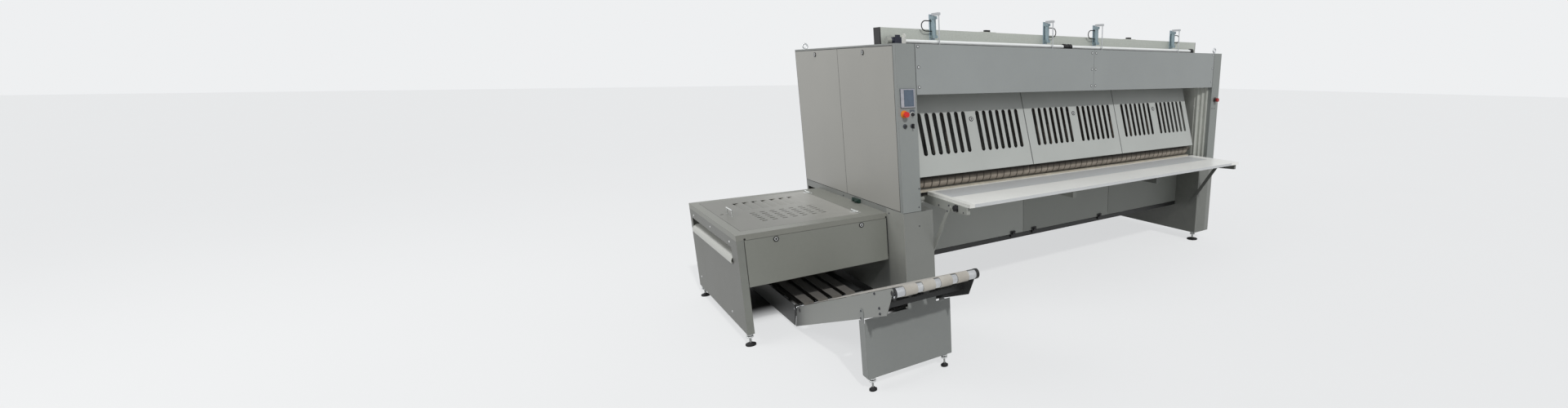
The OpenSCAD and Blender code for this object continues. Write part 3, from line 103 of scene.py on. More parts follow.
class Shader:
    """A small helper that builds one procedural material."""

    def __init__(self, name):
        self.mat = bpy.data.materials.new(name)
        self.mat.use_nodes = True
        self.tree = self.mat.node_tree
        self.bsdf = self.tree.nodes["Principled BSDF"]
        self.place = self.tree.nodes.new("ShaderNodeTexCoord").outputs["Object"]

    def node(self, kind, **values):
        """A new node with constants on its sockets or settings."""
        n = self.tree.nodes.new(kind)
        for key, value in values.items():
            if key in n.inputs:
                n.inputs[key].default_value = value
            else:
                setattr(n, key, value)
        return n

    def put(self, value, socket):
        """Links an output to a socket, or sets a constant on it."""
        if hasattr(value, "is_linked"):
            self.tree.links.new(value, socket)
        else:
            socket.default_value = value

    def scaled(self, x, y, z):
        """Object coordinates scaled along the three axes."""
        m = self.node("ShaderNodeMapping", Scale=(x, y, z))
        self.put(self.place, m.inputs["Vector"])
        return m.outputs["Vector"]

    def noise(self, scale, detail=3.0, rough=0.5, vector=None):
        """Soft noise from 0 to 1."""
        n = self.node("ShaderNodeTexNoise", Scale=scale, Detail=detail, Roughness=rough)
        self.put(vector or self.place, n.inputs["Vector"])
        return n.outputs["Fac"]

    def ramp(self, fac, *stops):
        """Colour ramp with stops (place, colour)."""
        n = self.node("ShaderNodeValToRGB")
        while len(n.color_ramp.elements) < len(stops):
            n.color_ramp.elements.new(0.5)
        for e, (place, colour) in zip(n.color_ramp.elements, stops):
            e.position = place
            e.color = colour
        self.put(fac, n.inputs["Fac"])
        return n.outputs["Color"]

    def uneven(self, colour, amount=0.06, scale=9.0):
        """A colour that varies a little from place to place."""
        cloud = self.noise(scale, 4.0, 0.6)
        return self.ramp(cloud, (0.3, shade(colour, 1 - amount)), (0.7, shade(colour, 1 + amount)))

    def range(self, fac, low, high):
        """Stretches 0 to 1 over a range of values."""
        n = self.node("ShaderNodeMapRange")
        n.inputs["To Min"].default_value = low
        n.inputs["To Max"].default_value = high
        self.put(fac, n.inputs["Value"])
        return n.outputs["Result"]

    def mix(self, fac, a, b):
        """Mixes two colours, each a colour or an output."""
        n = self.node("ShaderNodeMix", data_type="RGBA")
        for index, value in ((0, fac), (6, a), (7, b)):
            self.put(value, n.inputs[index])
        return n.outputs[2]

    def math(self, operation, a, b=0.0):
        """One step of arithmetic on outputs or numbers."""
        n = self.node("ShaderNodeMath", operation=operation)
        self.put(a, n.inputs[0])
        self.put(b, n.inputs[1])
        return n.outputs[0]

    def region(self, x=None, y=None, z=None):
        """1 inside a box given by (low, high) pairs in the machine's millimetres, else 0."""
        parts = self.node("ShaderNodeSeparateXYZ")
        self.put(self.place, parts.inputs["Vector"])
        inside = None
        for k, pair in enumerate((x, y, z)):
            for bound, test in zip(pair or (), ("GREATER_THAN", "LESS_THAN")):
                if abs(bound) >= FAR:
                    continue
                hit = self.math(test, parts.outputs[k], at(bound, bound, bound)[k])
                inside = hit if inside is None else self.math("MULTIPLY", inside, hit)
        return inside

    def fade(self, axis, start, end):
        """0 at start and 1 at end along an axis, in the machine's millimetres."""
        k = "xyz".index(axis)
        parts = self.node("ShaderNodeSeparateXYZ")
        self.put(self.place, parts.inputs["Vector"])
        n = self.node("ShaderNodeMapRange", interpolation_type="SMOOTHSTEP")
        n.inputs["From Min"].default_value = at(start, start, start)[k]
        n.inputs["From Max"].default_value = at(end, end, end)[k]
        self.put(parts.outputs[k], n.inputs["Value"])
        return n.outputs["Result"]

    def over(self, mask, colour, rough, metal=0.0):
        """Another finish where the mask is 1."""
        finish = {"Base Color": self.uneven(colour), "Roughness": rough, "Metallic": metal}
        for name, value in finish.items():
            socket = self.bsdf.inputs[name]
            old = socket.links[0].from_socket if socket.is_linked else socket.default_value
            if name == "Base Color":
                self.put(self.mix(mask, old, value), socket)
            else:
                blend = self.node("ShaderNodeMix")
                for index, part in ((0, mask), (2, old), (3, value)):
                    self.put(part, blend.inputs[index])
                self.put(blend.outputs[0], socket)
        return self

    def bump(self, height, strength, distance, edge=0.0):
        """Bump from a height, over edges rounded by a radius in millimetres."""
        n = self.node("ShaderNodeBump", Strength=strength, Distance=distance)
        if edge:
            rounded = self.node("ShaderNodeBevel", Radius=edge * MM, samples=4)
            self.put(rounded.outputs["Normal"], n.inputs["Normal"])
        self.put(height, n.inputs["Height"])
        self.put(n.outputs["Normal"], self.bsdf.inputs["Normal"])
        return self

    def look(self, colour, rough, metal=0.0, **others):
        """Sets the surface; other sockets are named with an underscore for each space."""
        self.put(colour, self.bsdf.inputs["Base Color"])
        self.put(rough, self.bsdf.inputs["Roughness"])
        self.put(metal, self.bsdf.inputs["Metallic"])
        for key, value in others.items():
            self.bsdf.inputs[key.replace("_", " ")].default_value = value
        return self


def paint(name, colour, rough=0.42, mottle=0.04, dust=0.05, edge=4.0):
    """Powder coat: a slightly uneven tone, orange-peel bump and a little dust."""
    s = Shader(name)
    cloud = s.noise(1.7, 4.0, 0.55)
    tone = s.ramp(cloud, (0.3, shade(colour, 1 - mottle)), (0.7, shade(colour, 1 + mottle)))
    tone = s.mix(s.range(s.noise(38.0, 5.0, 0.6), 0.0, dust), tone, linear(186, 182, 172))
    s.look(tone, s.range(cloud, rough - 0.06, rough + 0.08))
    return s.bump(s.noise(420.0, 2.0, 0.4), 0.12, 0.0006, edge)


def brushed(name, colour, along="x", rough=0.32, metal=0.9):
    """Brushed steel with fine lines along one axis."""
    s = Shader(name)
    stretch = {"x": (3, 900, 900), "y": (900, 3, 900), "z": (900, 900, 3)}[along]
    lines = s.noise(1.0, 4.0, 0.6, s.scaled(*stretch))
    stain = s.noise(5.0, 4.0, 0.6)
    tone = s.ramp(lines, (0.35, shade(colour, 0.9)), (0.65, shade(colour, 1.06)))
    tone = s.mix(s.range(stain, 0.0, 0.25), tone, shade(colour, 0.84))
    s.look(tone, s.range(stain, rough - 0.07, rough + 0.12), metal)
    return s.bump(lines, 0.08, 0.0003)


def galvanised(name, colour, metal=0.35):
    """Zinc with a fine spangle."""
    s = Shader(name)
    cells = s.node("ShaderNodeTexVoronoi", Scale=160.0)
    s.put(s.place, cells.inputs["Vector"])
    grey = s.ramp(cells.outputs["Color"], (0.2, shade(colour, 0.94)), (0.8, shade(colour, 1.05)))
    cloud = s.noise(3.0, 4.0)
    grey = s.mix(s.range(cloud, 0.0, 0.3), grey, shade(colour, 0.86))
    s.look(grey, s.range(cells.outputs["Distance"], 0.36, 0.46), metal)
    return s.bump(cloud, 0.05, 0.0005)


def chromed(name, rough=0.1, grooves=0.0, k=1.0):
    """Chrome, with turned grooves along X where grooves is their scale."""
    s = Shader(name)
    smear = s.noise(14.0, 4.0, 0.6)
    tone = s.ramp(smear, (0.3, shade(linear(205, 207, 210), k)), (0.75, shade(linear(238, 240, 242), k)))
    s.look(tone, s.range(smear, rough * 0.6, rough * 1.9), 1.0)
    if not grooves:
        return s.bump(smear, 0.05, 0.0003)
    wave = s.node("ShaderNodeTexWave", wave_type="BANDS", bands_direction="X", Scale=grooves)
    s.put(s.place, wave.inputs["Vector"])
    return s.bump(wave.outputs["Fac"], 0.35, 0.0009)


def woven(name, colour, dirt, thread=65.0):
    """Woven belt cloth with soft dirt."""
    s = Shader(name)
    weave = None
    for direction, scale in (("X", thread), ("DIAGONAL", thread * 0.77)):
        n = s.node("ShaderNodeTexWave", wave_type="BANDS", bands_direction=direction, Scale=scale)
        s.put(s.place, n.inputs["Vector"])
        weave = n.outputs["Fac"] if weave is None else s.math("MULTIPLY", weave, n.outputs["Fac"])
    cloud = s.noise(11.0, 5.0, 0.65)
    tone = s.ramp(cloud, (0.28, dirt), (0.62, colour))
    tone = s.mix(s.range(weave, 0.0, 0.16), tone, shade(colour, 0.72))
    s.look(tone, s.range(cloud, 0.9, 0.8), Sheen_Weight=0.15, Sheen_Roughness=0.6)
    return s.bump(weave, 0.35, 0.0006)


def plastic(name, colour, rough=0.45, grain=600.0, strength=0.15):
    """Moulded plastic with a fine grain."""
    s = Shader(name)
    cloud = s.noise(22.0, 3.0)
    tone = s.ramp(cloud, (0.3, shade(colour, 0.88)), (0.7, shade(colour, 1.1)))
    s.look(tone, s.range(cloud, rough - 0.05, rough + 0.1))
    return s.bump(s.noise(grain, 2.0), strength, 0.0004)


BLACK = linear(16, 16, 18)
WHITE = linear(238, 238, 233)

# The machine's greys are one paint in lighter and darker copies per part, as painted light and painted
# shade: the guards lighter, the fascia and columns darker.
M = {
    "door": paint("paint_door", linear(158, 157, 151)),
    "front": paint("paint_front", linear(143, 147, 146)),
    "column": paint("paint_column", linear(134, 138, 136)),
    "right_column": paint("paint_right_column", linear(130, 134, 131)),
    "guard": paint("paint_guard", linear(168, 171, 167), 0.36),
    "stacker": paint("paint_stacker", linear(121, 123, 116)),
    "panel": paint("paint_panel", linear(131, 134, 129)),
    "inner": paint("paint_inner", linear(133, 136, 133)),
    # painted shade: the lift table is painted near black, as it lies in the stacker's shade
    "lift": paint("paint_lift_shaded", linear(48, 50, 49), dust=0.02),
    # painted shade: the cross frame behind the guards' slots is painted near black, so the slots read as
    # deep shade
    "shaded_inner": paint("paint_shaded_inner", linear(30, 31, 31), dust=0.01),
    "stand": paint("paint_stand", linear(122, 125, 123)),
    "lip": paint("paint_lip", linear(176, 177, 170), 0.3),
    "white": paint("paint_white", WHITE, 0.3, 0.02, 0.03),
    "steel": brushed("brushed_steel", linear(190, 192, 194)),
    "screw": brushed("screw_zinc", linear(206, 208, 207), "z", 0.3, 0.3),
    "dark_bolt": brushed("dark_bolt", linear(58, 60, 66), "z", 0.4, 0.5),
    "chrome": chromed("chrome"),
    "roller": chromed("roller_chrome", 0.14, 60.0, 0.72),
    "dark_roller": brushed("dark_roller", linear(70, 68, 64), "x", 0.5),
    "infeed_roller": brushed("infeed_roller", linear(84, 78, 70), "x", 0.6, 0.1),
    # painted shade: the fold belts behind the guards' slots are painted dark so the slots read as deep
    # shade; the cloth's dirt pattern is its own
    "fold_belt": woven("fold_belt", linear(78, 68, 58), linear(38, 34, 30)),
    "strip": plastic("nosing", linear(168, 162, 148), 0.5),
    "black": plastic("black_plastic", linear(20, 20, 22), 0.42),
    "rubber": plastic("black_rubber", linear(17, 17, 18), 0.75, 260.0, 0.3),
    "green": plastic("green_plastic", linear(18, 44, 36), 0.4),
    "red": plastic("red_plastic", linear(205, 34, 26), 0.28, 900.0, 0.05),
    "dark_red": plastic("dark_red_plastic", linear(150, 28, 26), 0.3, 900.0, 0.05),
    "glass": plastic("screen_glass", linear(84, 97, 112), 0.14, 30.0, 0.01),
    "bezel": plastic("screen_bezel", linear(164, 164, 170), 0.35),
    "screen_body": plastic("screen_body", linear(82, 88, 96), 0.4),
    "tag": plastic("tag_plate", linear(214, 214, 208), 0.4),
}


def dress(shader, *names):
    """Gives CAD nodes one material."""
    for name in names:
        for slot in nodes[name].material_slots:
            slot.material = shader.mat


def beam_finish():
    """Galvanised beam with black end caps."""
    cap = 8
    low, high = span("top_beam")
    s = galvanised("beam_zinc", linear(188, 192, 184))
    s.over(s.region(x=(-FAR, low.x + cap)), BLACK, 0.5)
    return s.over(s.region(x=(high.x - cap, FAR)), BLACK, 0.5)


def cylinder_finish():
    """Galvanised brackets, dark blue-green barrels."""
    bracket = 8
    rear = span("lift_cylinders")[1].y
    s = galvanised("cylinder_zinc", linear(176, 190, 198), 0.6)
    return s.over(s.region(y=(-FAR, rear - bracket)), linear(142, 160, 166), 0.25, 0.4)


def shaft_finish():
    """Bright shaft with a black coupling."""
    coupling_x, half_w = middle_x - 112, 52
    s = brushed("shaft_steel", linear(240, 242, 240), "x", 0.3, 0.15)
    return s.over(s.region(x=(coupling_x - half_w, coupling_x + half_w)), BLACK, 0.6)


def motor_finish():
    """Dark blue motor with a bare end and a white flange."""
    bare_end, flange = 96, 174
    s = plastic("motor_enamel", linear(26, 30, 46), 0.35)
    s.over(s.region(x=(-FAR, bare_end)), linear(150, 152, 145), 0.4, 0.3)
    return s.over(s.region(x=(flange, FAR)), linear(206, 206, 200), 0.35)


def bearing_finish():
    """White left bracket, black right bearing."""
    s = paint("bracket_white", linear(212, 212, 206), 0.35)
    return s.over(s.region(x=(middle_x, FAR)), BLACK, 0.5)


def foot_finish():
    """Black rubber pads under zinc spindles."""
    pad_top = 24
    s = brushed("spindle_zinc", linear(150, 152, 150), "z", 0.35)
    return s.over(s.region(z=(-FAR, pad_top)), BLACK, 0.75)


def tray_finish():
    """Satin steel plate with a painted border on the left, on the right and at the rear."""
    left, right, rear = 44, 143, 33
    low, high = span("table_tray")
    s = brushed("table_steel", linear(204, 206, 206), "x", 0.42, 0.2)
    s.over(s.region(x=(-FAR, low.x + left)), linear(222, 222, 216), 0.4)
    s.over(s.region(x=(right_in - right, FAR)), WHITE, 0.35)
    return s.over(s.region(y=(high.y - rear, FAR)), WHITE, 0.35)


def latch_finish(name, colour):
    """Painted panel with black latches at the lower edge."""
    latch_h, latch_depth = 36, 21.5
    low = span("lower_panel_left")[0]
    s = paint(name, colour)
    return s.over(s.region(y=(-FAR, low.y + latch_depth), z=(-FAR, low.z + latch_h)), BLACK, 0.5)


def arm_finish():
    """Painted arms, darker on the right as painted shade, with a black knob on each."""
    knob_y, knob_z, knob_r = -324, 925, 25
    s = paint("paint_arms", linear(148, 150, 144))
    # painted shade: the right arm is painted darker
    s.over(s.region(x=(middle_x, FAR)), linear(98, 100, 96), 0.45)
    knob = s.region(y=(knob_y - knob_r, knob_y + knob_r), z=(knob_z - knob_r, knob_z + knob_r))
    return s.over(knob, BLACK, 0.5)


def lid_finish():
    """Glossy painted lid with painted light, lighter towards the machine where it is better lit, and a
    bright steel handle.
    """
    shaded_x, lit_x = -900, -60
    s = paint("paint_lid", linear(116, 116, 110), 0.4)
    s.bsdf.inputs["Specular IOR Level"].default_value = 0.25
    # painted light: the lid is painted lighter towards the machine, as if better lit there
    s.over(s.fade("x", shaded_x, lit_x), linear(158, 157, 151), 0.4)
    return s.over(s.region(z=(HARDWARE_Z, FAR)), linear(214, 216, 214), 0.25, 0.8)


def rim_finish():
    """Painted frame whose lid hinges are bare steel."""
    s = paint("paint_rim", linear(126, 127, 120), 0.42)
    s.bsdf.inputs["Specular IOR Level"].default_value = 0.28
    return s.over(s.region(z=(HARDWARE_Z, FAR)), linear(220, 222, 220), 0.25, 0.8)


def base_finish():
    """Yellow base of the left stop button, dark base of the right one."""
    s = plastic("base_yellow", linear(216, 132, 40), 0.4)
    return s.over(s.region(x=(middle_x, FAR)), linear(60, 52, 50), 0.45)


def pedestal_finish():
    """Left pedestal with painted light: lighter on its outer side, which the stacker shades."""
    s = paint("paint_pedestal", linear(124, 126, 122))
    # painted light on the outer side beside the stacker
    return s.over(s.region(x=(-FAR, SKIN), y=(-FAR, side_y)), linear(148, 149, 143), 0.42)


def stacker_side_finish():
    """Left side panel of the stacker in a darker tone as painted shade, with painted light on its front
    return, which takes the front panel's lighter tone.
    """
    s = paint("paint_stacker_side", linear(88, 89, 84))
    # painted light: the front return is painted in the lighter front tone
    return s.over(s.region(y=(-FAR, side_y + SKIN)), linear(118, 120, 114), 0.42)


def right_finish(name, colour, depth, inner):
    """Paint of the right side with its inner side down to a depth in another tone: painted shade on the
    pedestal, painted light on the housing.
    """
    outer_strip = 70
    s = paint(name, colour)
    return s.over(s.region(x=(-FAR, main_w - outer_strip), y=(-FAR, depth)), inner, 0.42)


def conveyor_finish():
    """Painted side plates with painted shade: darker towards the stacker and on the sides that face the
    belts.
    """
    shade_start_y, shade_full_y = 130, 390
    outside = span("incline_frame")[0].x
    s = paint("paint_conveyor", linear(134, 136, 132))
    # painted shade: the plates darken towards the stacker, where they run into its shade
    s.over(s.fade("y", shade_start_y, shade_full_y), linear(78, 80, 78), 0.45)
    # painted shade on the sides that face the belts
    return s.over(s.region(x=(outside + SKIN, FAR)), linear(48, 49, 49), 0.45)


def belt_finish(name, colour, dirt, dark, axis, start, end):
    """Belts painted darker along an axis: painted shade where they run under the guards and the stacker."""
    s = woven(name, colour, dirt)
    # painted shade along the axis
    return s.over(s.fade(axis, start, end), dark, 0.9)


dress(M["front"], "fascia_panels")
dress(M["column"], "left_column")
dress(M["right_column"], "right_column")
dress(pedestal_finish(), "left_pedestal")
# painted shade: the pedestal's inner side is painted darker
dress(right_finish("paint_right_pedestal", linear(124, 126, 122), depth=FAR, inner=linear(108, 110, 105)),
      "right_pedestal")
dress(M["door"], "side_door_front", "side_door_rear")
dress(M["guard"], *GUARDS)
dress(M["stacker"], "stacker_front_panel")
dress(stacker_side_finish(), "stacker_side_panel")
dress(M["lip"], "output_lip")
dress(rim_finish(), "stacker_frame")
dress(lid_finish(), "stacker_lid")
dress(M["stand"], "delivery_stand")
dress(conveyor_finish(), "incline_frame")
dress(arm_finish(), "table_arms")
dress(M["inner"], "left_housing", "outer_covers")
dress(M["lift"], "lift_table")
dress(M["shaded_inner"], "cross_frame")
dress(M["panel"], "lower_panel_right")
# painted light: the housing's inner side is painted lighter
dress(right_finish("paint_right_housing", linear(140, 141, 136), depth=300, inner=linear(172, 174, 167)),
      "right_housing")
# painted light: the left lower panel is painted lighter than the middle one, as lit from the left
dress(latch_finish("paint_latched_left", linear(168, 171, 166)), "lower_panel_left")
dress(latch_finish("paint_latched_middle", linear(142, 145, 140)), "lower_panel_middle")
dress(M["white"], "table_board")
dress(bearing_finish(), "shaft_mounts")
dress(tray_finish(), "table_tray")
dress(M["steel"], "hinge_rods", "left_press_bar", "right_press_bar")
dress(shaft_finish(), "cross_shaft")
dress(beam_finish(), "top_beam")
dress(cylinder_finish(), "lift_cylinders")
dress(M["chrome"], "lifting_eyes", "stacker_guides")
dress(M["roller"], "lift_front_roller", "lift_rear_roller", "incline_front_roller", "incline_tail_roller")
dress(M["dark_roller"], "rear_roller", "fold_roller")
dress(M["infeed_roller"], "infeed_roller")
# painted shade: the infeed belts darken upwards, under the guards
dress(belt_finish("narrow_belt", linear(150, 140, 127), linear(122, 113, 102), linear(54, 48, 42),
                  axis="z", start=1052, end=1092), "infeed_belts")
dress(M["fold_belt"], "fold_belts")
# painted shade: the incline belts darken towards their tail under the stacker
dress(belt_finish("front_belt", linear(178, 174, 165), linear(163, 158, 148), linear(104, 100, 92),
                  axis="y", start=-60, end=240), "incline_belts")
# painted shade: the lift belts are painted dark all over and darker further under the stacker
dress(belt_finish("lift_belt", linear(104, 100, 93), linear(88, 84, 78), linear(84, 81, 76),
                  axis="y", start=350, end=900), "lift_belts")
dress(M["strip"], "nosing_strip")
dress(M["screen_body"], "operator_panel")
dress(M["black"], "start_button", "mode_selector", "key_dial")
dress(M["rubber"], "air_hoses")
dress(foot_finish(), "levelling_feet")
dress(motor_finish(), "shaft_motor")
dress(M["green"], "side_connector")
dress(M["red"], "left_stop_button")
dress(M["dark_red"], "right_stop_button")
dress(base_finish(), "stop_switch_bases")


# Pieces

class Piece:
    """One piece of the scene, made of blocks, turned shapes and bent rods in millimetres."""

    def __init__(self):
        self.bm = bmesh.new()

    def block(self, low, high, bevel=0.0):
        """Block between two corners, with small chamfers."""
        verts = bmesh.ops.create_cube(self.bm, size=1.0)["verts"]
        for v in verts:
            v.co = at(*(low[k] + (v.co[k] + 0.5) * (high[k] - low[k]) for k in range(3)))
        if bevel:
            edges = list(dict.fromkeys(e for v in verts for e in v.link_edges))
            bmesh.ops.bevel(self.bm, geom=edges, offset=bevel * MM, segments=2, affect="EDGES")
        return self

    def turned(self, base, axis, profile, sides=32, ring=False):
        """Turned shape from a profile of (radius, height) along the axis, closed for a ring."""
        turn = Vector(axis).to_track_quat("Z", "Y")
        rings = []
        for r, h in profile:
            circle = []
            for k in range(sides):
                a = 2 * math.pi * k / sides
                edge = Vector((r * math.cos(a), r * math.sin(a), h)) * MM
                circle.append(self.bm.verts.new(at(*base) + turn @ edge))
            rings.append(circle)
        if ring:
            rings.append(rings[0])
        for low, high in zip(rings, rings[1:]):
            for k in range(sides):
                n = (k + 1) % sides
                self.bm.faces.new((low[k], low[n], high[n], high[k]))
        if not ring:
            self.bm.faces.new(list(reversed(rings[0])))
            self.bm.faces.new(rings[-1])
        return self

    def bent(self, points, r, sides=12, steps=8):
        """Round rod through points, smoothed between them."""
        p = [at(*q) for q in points]
        p = [2 * p[0] - p[1], *p, 2 * p[-1] - p[-2]]
        way = []
        for k in range(1, len(p) - 2):
            for n in range(steps):
                t = n / steps
                a, b, c, d = p[k - 1:k + 3]
                way.append(0.5 * (2 * b + (c - a) * t + (2 * a - 5 * b + 4 * c - d) * t * t
                                  + (3 * b - a - 3 * c + d) * t ** 3))
        way.append(p[-2])
        rings = []
        for k, q in enumerate(way):
            heading = way[min(k + 1, len(way) - 1)] - way[max(k - 1, 0)]
            turn = heading.to_track_quat("Z", "Y")
            rings.append([self.bm.verts.new(q + turn @ (Vector((math.cos(a), math.sin(a), 0)) * r * MM))
                          for a in (2 * math.pi * n / sides for n in range(sides))])
        for low, high in zip(rings, rings[1:]):
            for k in range(sides):
                n = (k + 1) % sides
                self.bm.faces.new((low[k], low[n], high[n], high[k]))
        self.bm.faces.new(list(reversed(rings[0])))
        self.bm.faces.new(rings[-1])
        return self

    def screw(self, base, axis, r=7.0):
        """Button head screw with a socket."""
        head = [(r, -0.5), (r, 1.6), (0.85 * r, 3.0), (0.45 * r, 3.6)]
        socket = [(0.42 * r, 3.6), (0.4 * r, 1.6)]
        return self.turned(base, axis, head + socket)

    def washer(self, base, axis, r):
        """Thin washer under a screw."""
        return self.turned(base, axis, [(r, -0.5), (r, 0.6), (0.9 * r, 0.9)])

    def hex_bolt(self, base, axis, r=7.0, head=5.0):
        """Hexagon head on a round washer."""
        self.turned(base, axis, [(1.4 * r, -0.5), (1.4 * r, 1.2)])
        return self.turned(base, axis, [(r, 1.2), (r, 1.2 + head * 0.8), (0.85 * r, 1.2 + head)], 6)

    def add(self, name, material, slot, body="machine"):
        """Makes the piece an object with a material and puts it on a body."""
        bmesh.ops.recalc_face_normals(self.bm, faces=self.bm.faces)
        mesh = bpy.data.meshes.new(name)
        self.bm.to_mesh(mesh)
        self.bm.free()
        mesh.materials.append(M[material].mat)
        mesh.polygons.foreach_set("use_smooth", [True] * len(mesh.polygons))
        mesh.set_sharp_from_angle(angle=math.radians(32))
        obj = bpy.data.objects.new(name, mesh)
        bpy.context.scene.collection.objects.link(obj)
        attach(obj, body)


FRONT = (0, -1, 0)
LEFT = (-1, 0, 0)
RIGHT = (1, 0, 0)
UP = (0, 0, 1)


def fascia_screws():
    """Screws with dark washers at the ends of the fascia and along its middle seam."""
    from_left, from_seam, from_right = 23, 25, 20
    seam_heights = (2065, 1923, 1779)
    columns = ((fascia[0].x + from_left, (2076, 1932, 1790)),
               (middle_x - from_seam, seam_heights),
               (middle_x + from_seam, seam_heights),
               (fascia[1].x - from_right, (2076, 1938, 1795)))
    heads, washers = Piece(), Piece()
    for x, heights in columns:
        for z in heights:
            heads.screw((x, 0, z), FRONT, 8)
            washers.washer((x, 0, z), FRONT, 11.5)
    heads.add("fascia_screws", "screw", "steel")
    washers.add("fascia_washers", "rubber", "black_plastic")


def column_screws():
    """Small dark screws on the columns and pedestals, light ones on the inner right wall."""
    front_places = ((144, 1039), (137, 896), (134, 748), (main_w - 105, 1507), (main_w - 60, 1505))
    side_places = ((232, 827), (1088, 836))
    wall_places = ((132, 1533), (63, 1483))
    p = Piece()
    for x, z in front_places:
        p.screw((x, 0, z), FRONT, 5)
    for y, z in side_places:
        p.screw((0, y, z), LEFT, 6)
    p.add("column_screws", "dark_bolt", "black_plastic")
    p = Piece()
    for y, z in wall_places:
        p.screw((right_in, y, z), LEFT, 7)
    p.add("wall_screws", "screw", "steel")


def operator_screen():
    """Screen glass in a frame with lighter strips at both sides."""
    x0, x1, z0, z1 = 20, 138, 1645.5, 1782.5
    rim, left_strip, right_strip, bar = 2, 27, 11, 9
    face = span("operator_panel")[0].y
    p = Piece()
    for low, high in (((x0 + rim, z0 + rim), (x0 + left_strip, z1 - rim)),
                      ((x1 - right_strip, z0 + rim), (x1 - rim, z1 - rim)),
                      ((x0 + left_strip, z1 - bar), (x1 - right_strip, z1 - rim)),
                      ((x0 + left_strip, z0 + rim), (x1 - right_strip, z0 + bar))):
        p.block((low[0], face - 2, low[1]), (high[0], face + 1, high[1]), 1.0)
    p.add("screen_frame", "bezel", "shade_paint")
    p = Piece()
    for inset, proud, depth, bevel in ((0, 1, 0.5, 1.5), (4, 1.4, 0, 0.5)):
        p.block((x0 + left_strip + 1 + inset, face - proud, z0 + bar + inset),
                (x1 - right_strip - 1 - inset, face + depth, z1 - bar - inset), bevel)
    p.add("screen_glass", "glass", "shade_paint")


def control_tags():
    """Light tag behind the key dial and rings round the two small controls."""
    key_x, key_z = 114, 1597
    tag_half_w, tag_foot, tag_top = 20, 9, 35
    start_x, mode_x, control_z = 50, 111, 1513
    p = Piece()
    p.block((key_x - tag_half_w, -1.2, key_z + tag_foot), (key_x + tag_half_w, 0.2, key_z + tag_top), 0.5)
    p.turned((key_x, 0, key_z), FRONT, [(19, -0.2), (19, 1.6), (18, 2.2), (15, 2.2)])
    p.add("key_tag", "tag", "white_paint")
    p = Piece()
    for x in (start_x, mode_x):
        p.turned((x, 0, control_z), FRONT, [(17, -0.2), (17, 1.8), (15.5, 2.6), (13, 2.6)])
    p.add("control_rings", "black", "black_plastic")


def guard_place(x, along, out=0.0):
    """A place on a guard's face or out from it, along from its hinge, in millimetres."""
    y, z = -GUARD_FACE - out, -along
    c, s = math.cos(GUARD_TILT), math.sin(GUARD_TILT)
    return (x, HINGE_Y + y * c + z * s, HINGE_Z - y * s + z * c)


def quarter_lock(name, base, axis, body):
    """Black ring and zinc face round the boss of a quarter-turn lock."""
    ring = Piece()
    ring.turned(base, axis, [(13.3, -0.5), (19.5, -0.5), (19.5, 2.2), (18, 3.4), (13.3, 3.4)], ring=True)
    ring.turned(base, axis, [(0.5, 1.7), (7.4, 2.9), (7.4, 3.6), (0.5, 3.6)])
    ring.add(name + "_ring", "black", "paint", body)
    face = Piece()
    face.turned(base, axis, [(7.8, 2.6), (12.6, 2.6), (12.6, 3.4), (11.6, 4.2), (7.8, 4.2)], ring=True)
    face.add(name + "_face", "screw", "steel", body)


def locks():
    """Locks of the guards, the side doors and the stacker's front panel."""
    guard_right, guard_drop = 10, 261
    door_drop, panel_drop, panel_in = 36, 21, 210
    out = (0, -math.cos(GUARD_TILT), math.sin(GUARD_TILT))
    for body, (low, high) in zip(GUARDS, guard_box):
        place = guard_place((low.x + high.x) / 2 + guard_right, guard_drop)
        quarter_lock(body + "_lock", place, out, body)
    for body in ("side_door_front", "side_door_rear"):
        low, high = span(body)
        quarter_lock(body + "_lock", (low.x + 1, (low.y + high.y) / 2, high.z - door_drop), LEFT, body)
    low, high = front_panel
    for name, x in (("left", low.x + panel_in), ("right", high.x - panel_in)):
        quarter_lock("stacker_lock_" + name, (x, low.y, high.z - panel_drop), FRONT, "stacker_front_panel")


def door_seals():
    """Dark seals in the seams round and between the side doors."""
    front, rear = span("side_door_front"), span("side_door_rear")
    foot, top = front[0].z - SEAM, front[1].z
    p = Piece()
    for y0, y1 in ((front[0].y - SEAM, front[0].y), (front[1].y, rear[0].y), (rear[1].y, rear[1].y + SEAM)):
        p.block((-0.2, y0 + 0.1, foot + 0.3), (2.6, y1 - 0.1, top + SEAM - 0.4), 0.1)
    p.block((-0.2, front[0].y, foot + 0.2), (4.0, rear[1].y, foot + 2.6), 0.1)
    p.block((-0.2, front[0].y, top + 0.2), (3.0, rear[1].y, top + SEAM - 0.4), 0.1)
    p.add("door_seals", "rubber", "black_plastic")


def fascia_seals():
    """Dark seals at both ends of the fascia and in its middle seam."""
    p = Piece()
    for x0, x1 in ((fascia[0].x - SEAM, fascia[0].x), (fascia[1].x, fascia[1].x + SEAM)):
        p.block((x0 + 0.1, -0.2, fascia[0].z), (x1 - 0.1, 2.8, roof), 0.1)
    p.block((middle_x - 0.9, 0.4, fascia[0].z), (middle_x + 0.9, 2.8, roof), 0.2)
    p.add("fascia_seals", "rubber", "black_plastic")


def column_seals():
    """Dark seals where the front columns stand on the pedestals."""
    proud, half_h = 0.3, 1.6
    outer_gap, left_gap, right_gap = 1, 6, 20
    left = span("left_column")[1].x
    p = Piece()
    for x0, x1 in ((outer_gap, left - left_gap), (right_in + right_gap, main_w - outer_gap)):
        p.block((x0, -proud, ped_top - half_h), (x1, proud, ped_top + half_h), 0.1)
    p.add("column_seals", "rubber", "black_plastic")


